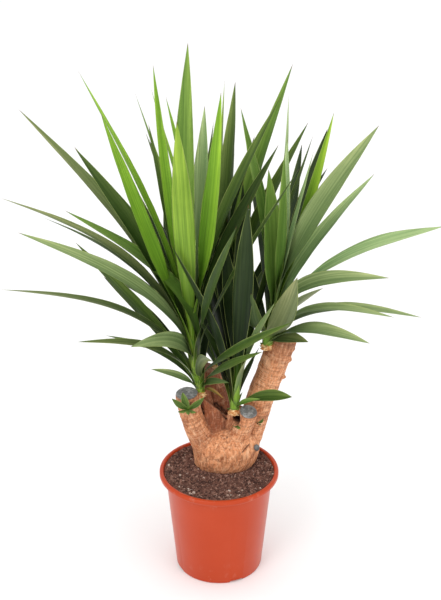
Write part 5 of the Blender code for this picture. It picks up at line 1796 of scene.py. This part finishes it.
def scattered(pad, bed, where, density, size, seed):
    """Faceted grains on the bed, each with its own size, turn and tone."""
    dots = pad.geo("DistributePointsOnFaces", {"Mesh": bed, "Selection": where, "Density": density, "Seed": seed})
    turn = drawn(pad, pad.plus(seed, 10.0), LEAST_TURN, MOST_TURN)
    ball = pad.geo("MeshIcoSphere", {"Radius": 1.0, "Subdivisions": 1})
    grow = pad.scaled(drawn(pad, seed, LEAST_GRAIN, MOST_GRAIN), size)
    grains = pad.geo("InstanceOnPoints", {"Points": dots, "Instance": ball, "Rotation": turn, "Scale": grow})
    tone = pad.add("FunctionNodeRandomValue", {"Seed": pad.plus(seed, 20.0)}, data_type="FLOAT").outputs[1]
    grains = pad.geo("StoreNamedAttribute", {"Geometry": grains, "Name": "tone", "Value": tone},
                     data_type="FLOAT", domain="INSTANCE")
    return pad.geo("RealizeInstances", {"Geometry": grains})


def make_soil_tree():
    pad, inputs, outputs = new_tree(
        "crumbly_soil", "GeometryNodeTree",
        {"Bed": "Geometry", "Relief": SOIL_RELIEF, "Crumbs Per Area": 52000.0, "Chips Per Area": 90000.0,
         "Crumb Size": 3.0 * MM, "Seed": 4, "Finish": "Material"},
        {"Soil": "Geometry"})
    place = pad.geo("InputPosition")
    reach = pad.length(pad.by(place, (1, 1, 0)))
    bed = store(pad, inputs["Bed"], "tone", pad.noise(place, 120.0, 2.0))
    bed = pad.geo("SetPosition", {"Geometry": bed, "Offset": pad.xyz(0.0, 0.0, soil_lift(pad, inputs, place, reach))})
    bed = pad.geo("SetShadeSmooth", {"Geometry": bed, "Shade Smooth": True})
    where = open_top(pad, place, reach)
    pieces = [bed]
    for number, (density, size) in enumerate(GRAINS.items()):
        seed = pad.plus(inputs["Seed"], float(number))
        pieces.append(scattered(pad, bed, where, inputs[density], pad.times(inputs["Crumb Size"], size), seed))
    join = pad.add("GeometryNodeJoinGeometry")
    for geometry in pieces:
        pad.tree.links.new(geometry, join.inputs[0])
    pad.feed(outputs["Soil"], finished(pad, join.outputs[0], inputs["Finish"]))
    return pad.tree


def soil_finish():
    material, pad, shader, place = new_finish("coarse_peat", 0.95, 0.2)
    stops = [(0.0, (0.045, 0.020, 0.016)), (0.35, (0.105, 0.048, 0.036)), (0.62, (0.170, 0.078, 0.056)),
             (0.84, (0.250, 0.130, 0.095)), (0.965, (0.32, 0.185, 0.14)), (0.992, (0.56, 0.45, 0.38))]
    peat = ramp_of(pad, pad.attribute("tone"), stops)
    grit = pad.patches(place, 420.0, 0.56, 0.70, peat, rgb(0.46, 0.30, 0.235), 0.60)
    # small near-black spots over the soil
    near_black_spots = pad.patches(pad.vector("ADD", place, (0.3, 0.1, 0.6)), 300.0, 0.55, 0.70, grit["Colour"],
                       rgb(0.035, 0.014, 0.011), 0.7)
    pad.feed(shader.inputs["Base Color"], near_black_spots["Colour"])
    pad.grain(shader, place, 700.0, 700.0, 1 * MM, 0.9)
    return material


soil = grown(soil_bed(), make_soil_tree(), Finish=soil_finish())
seat(soil, "peat", "soil")
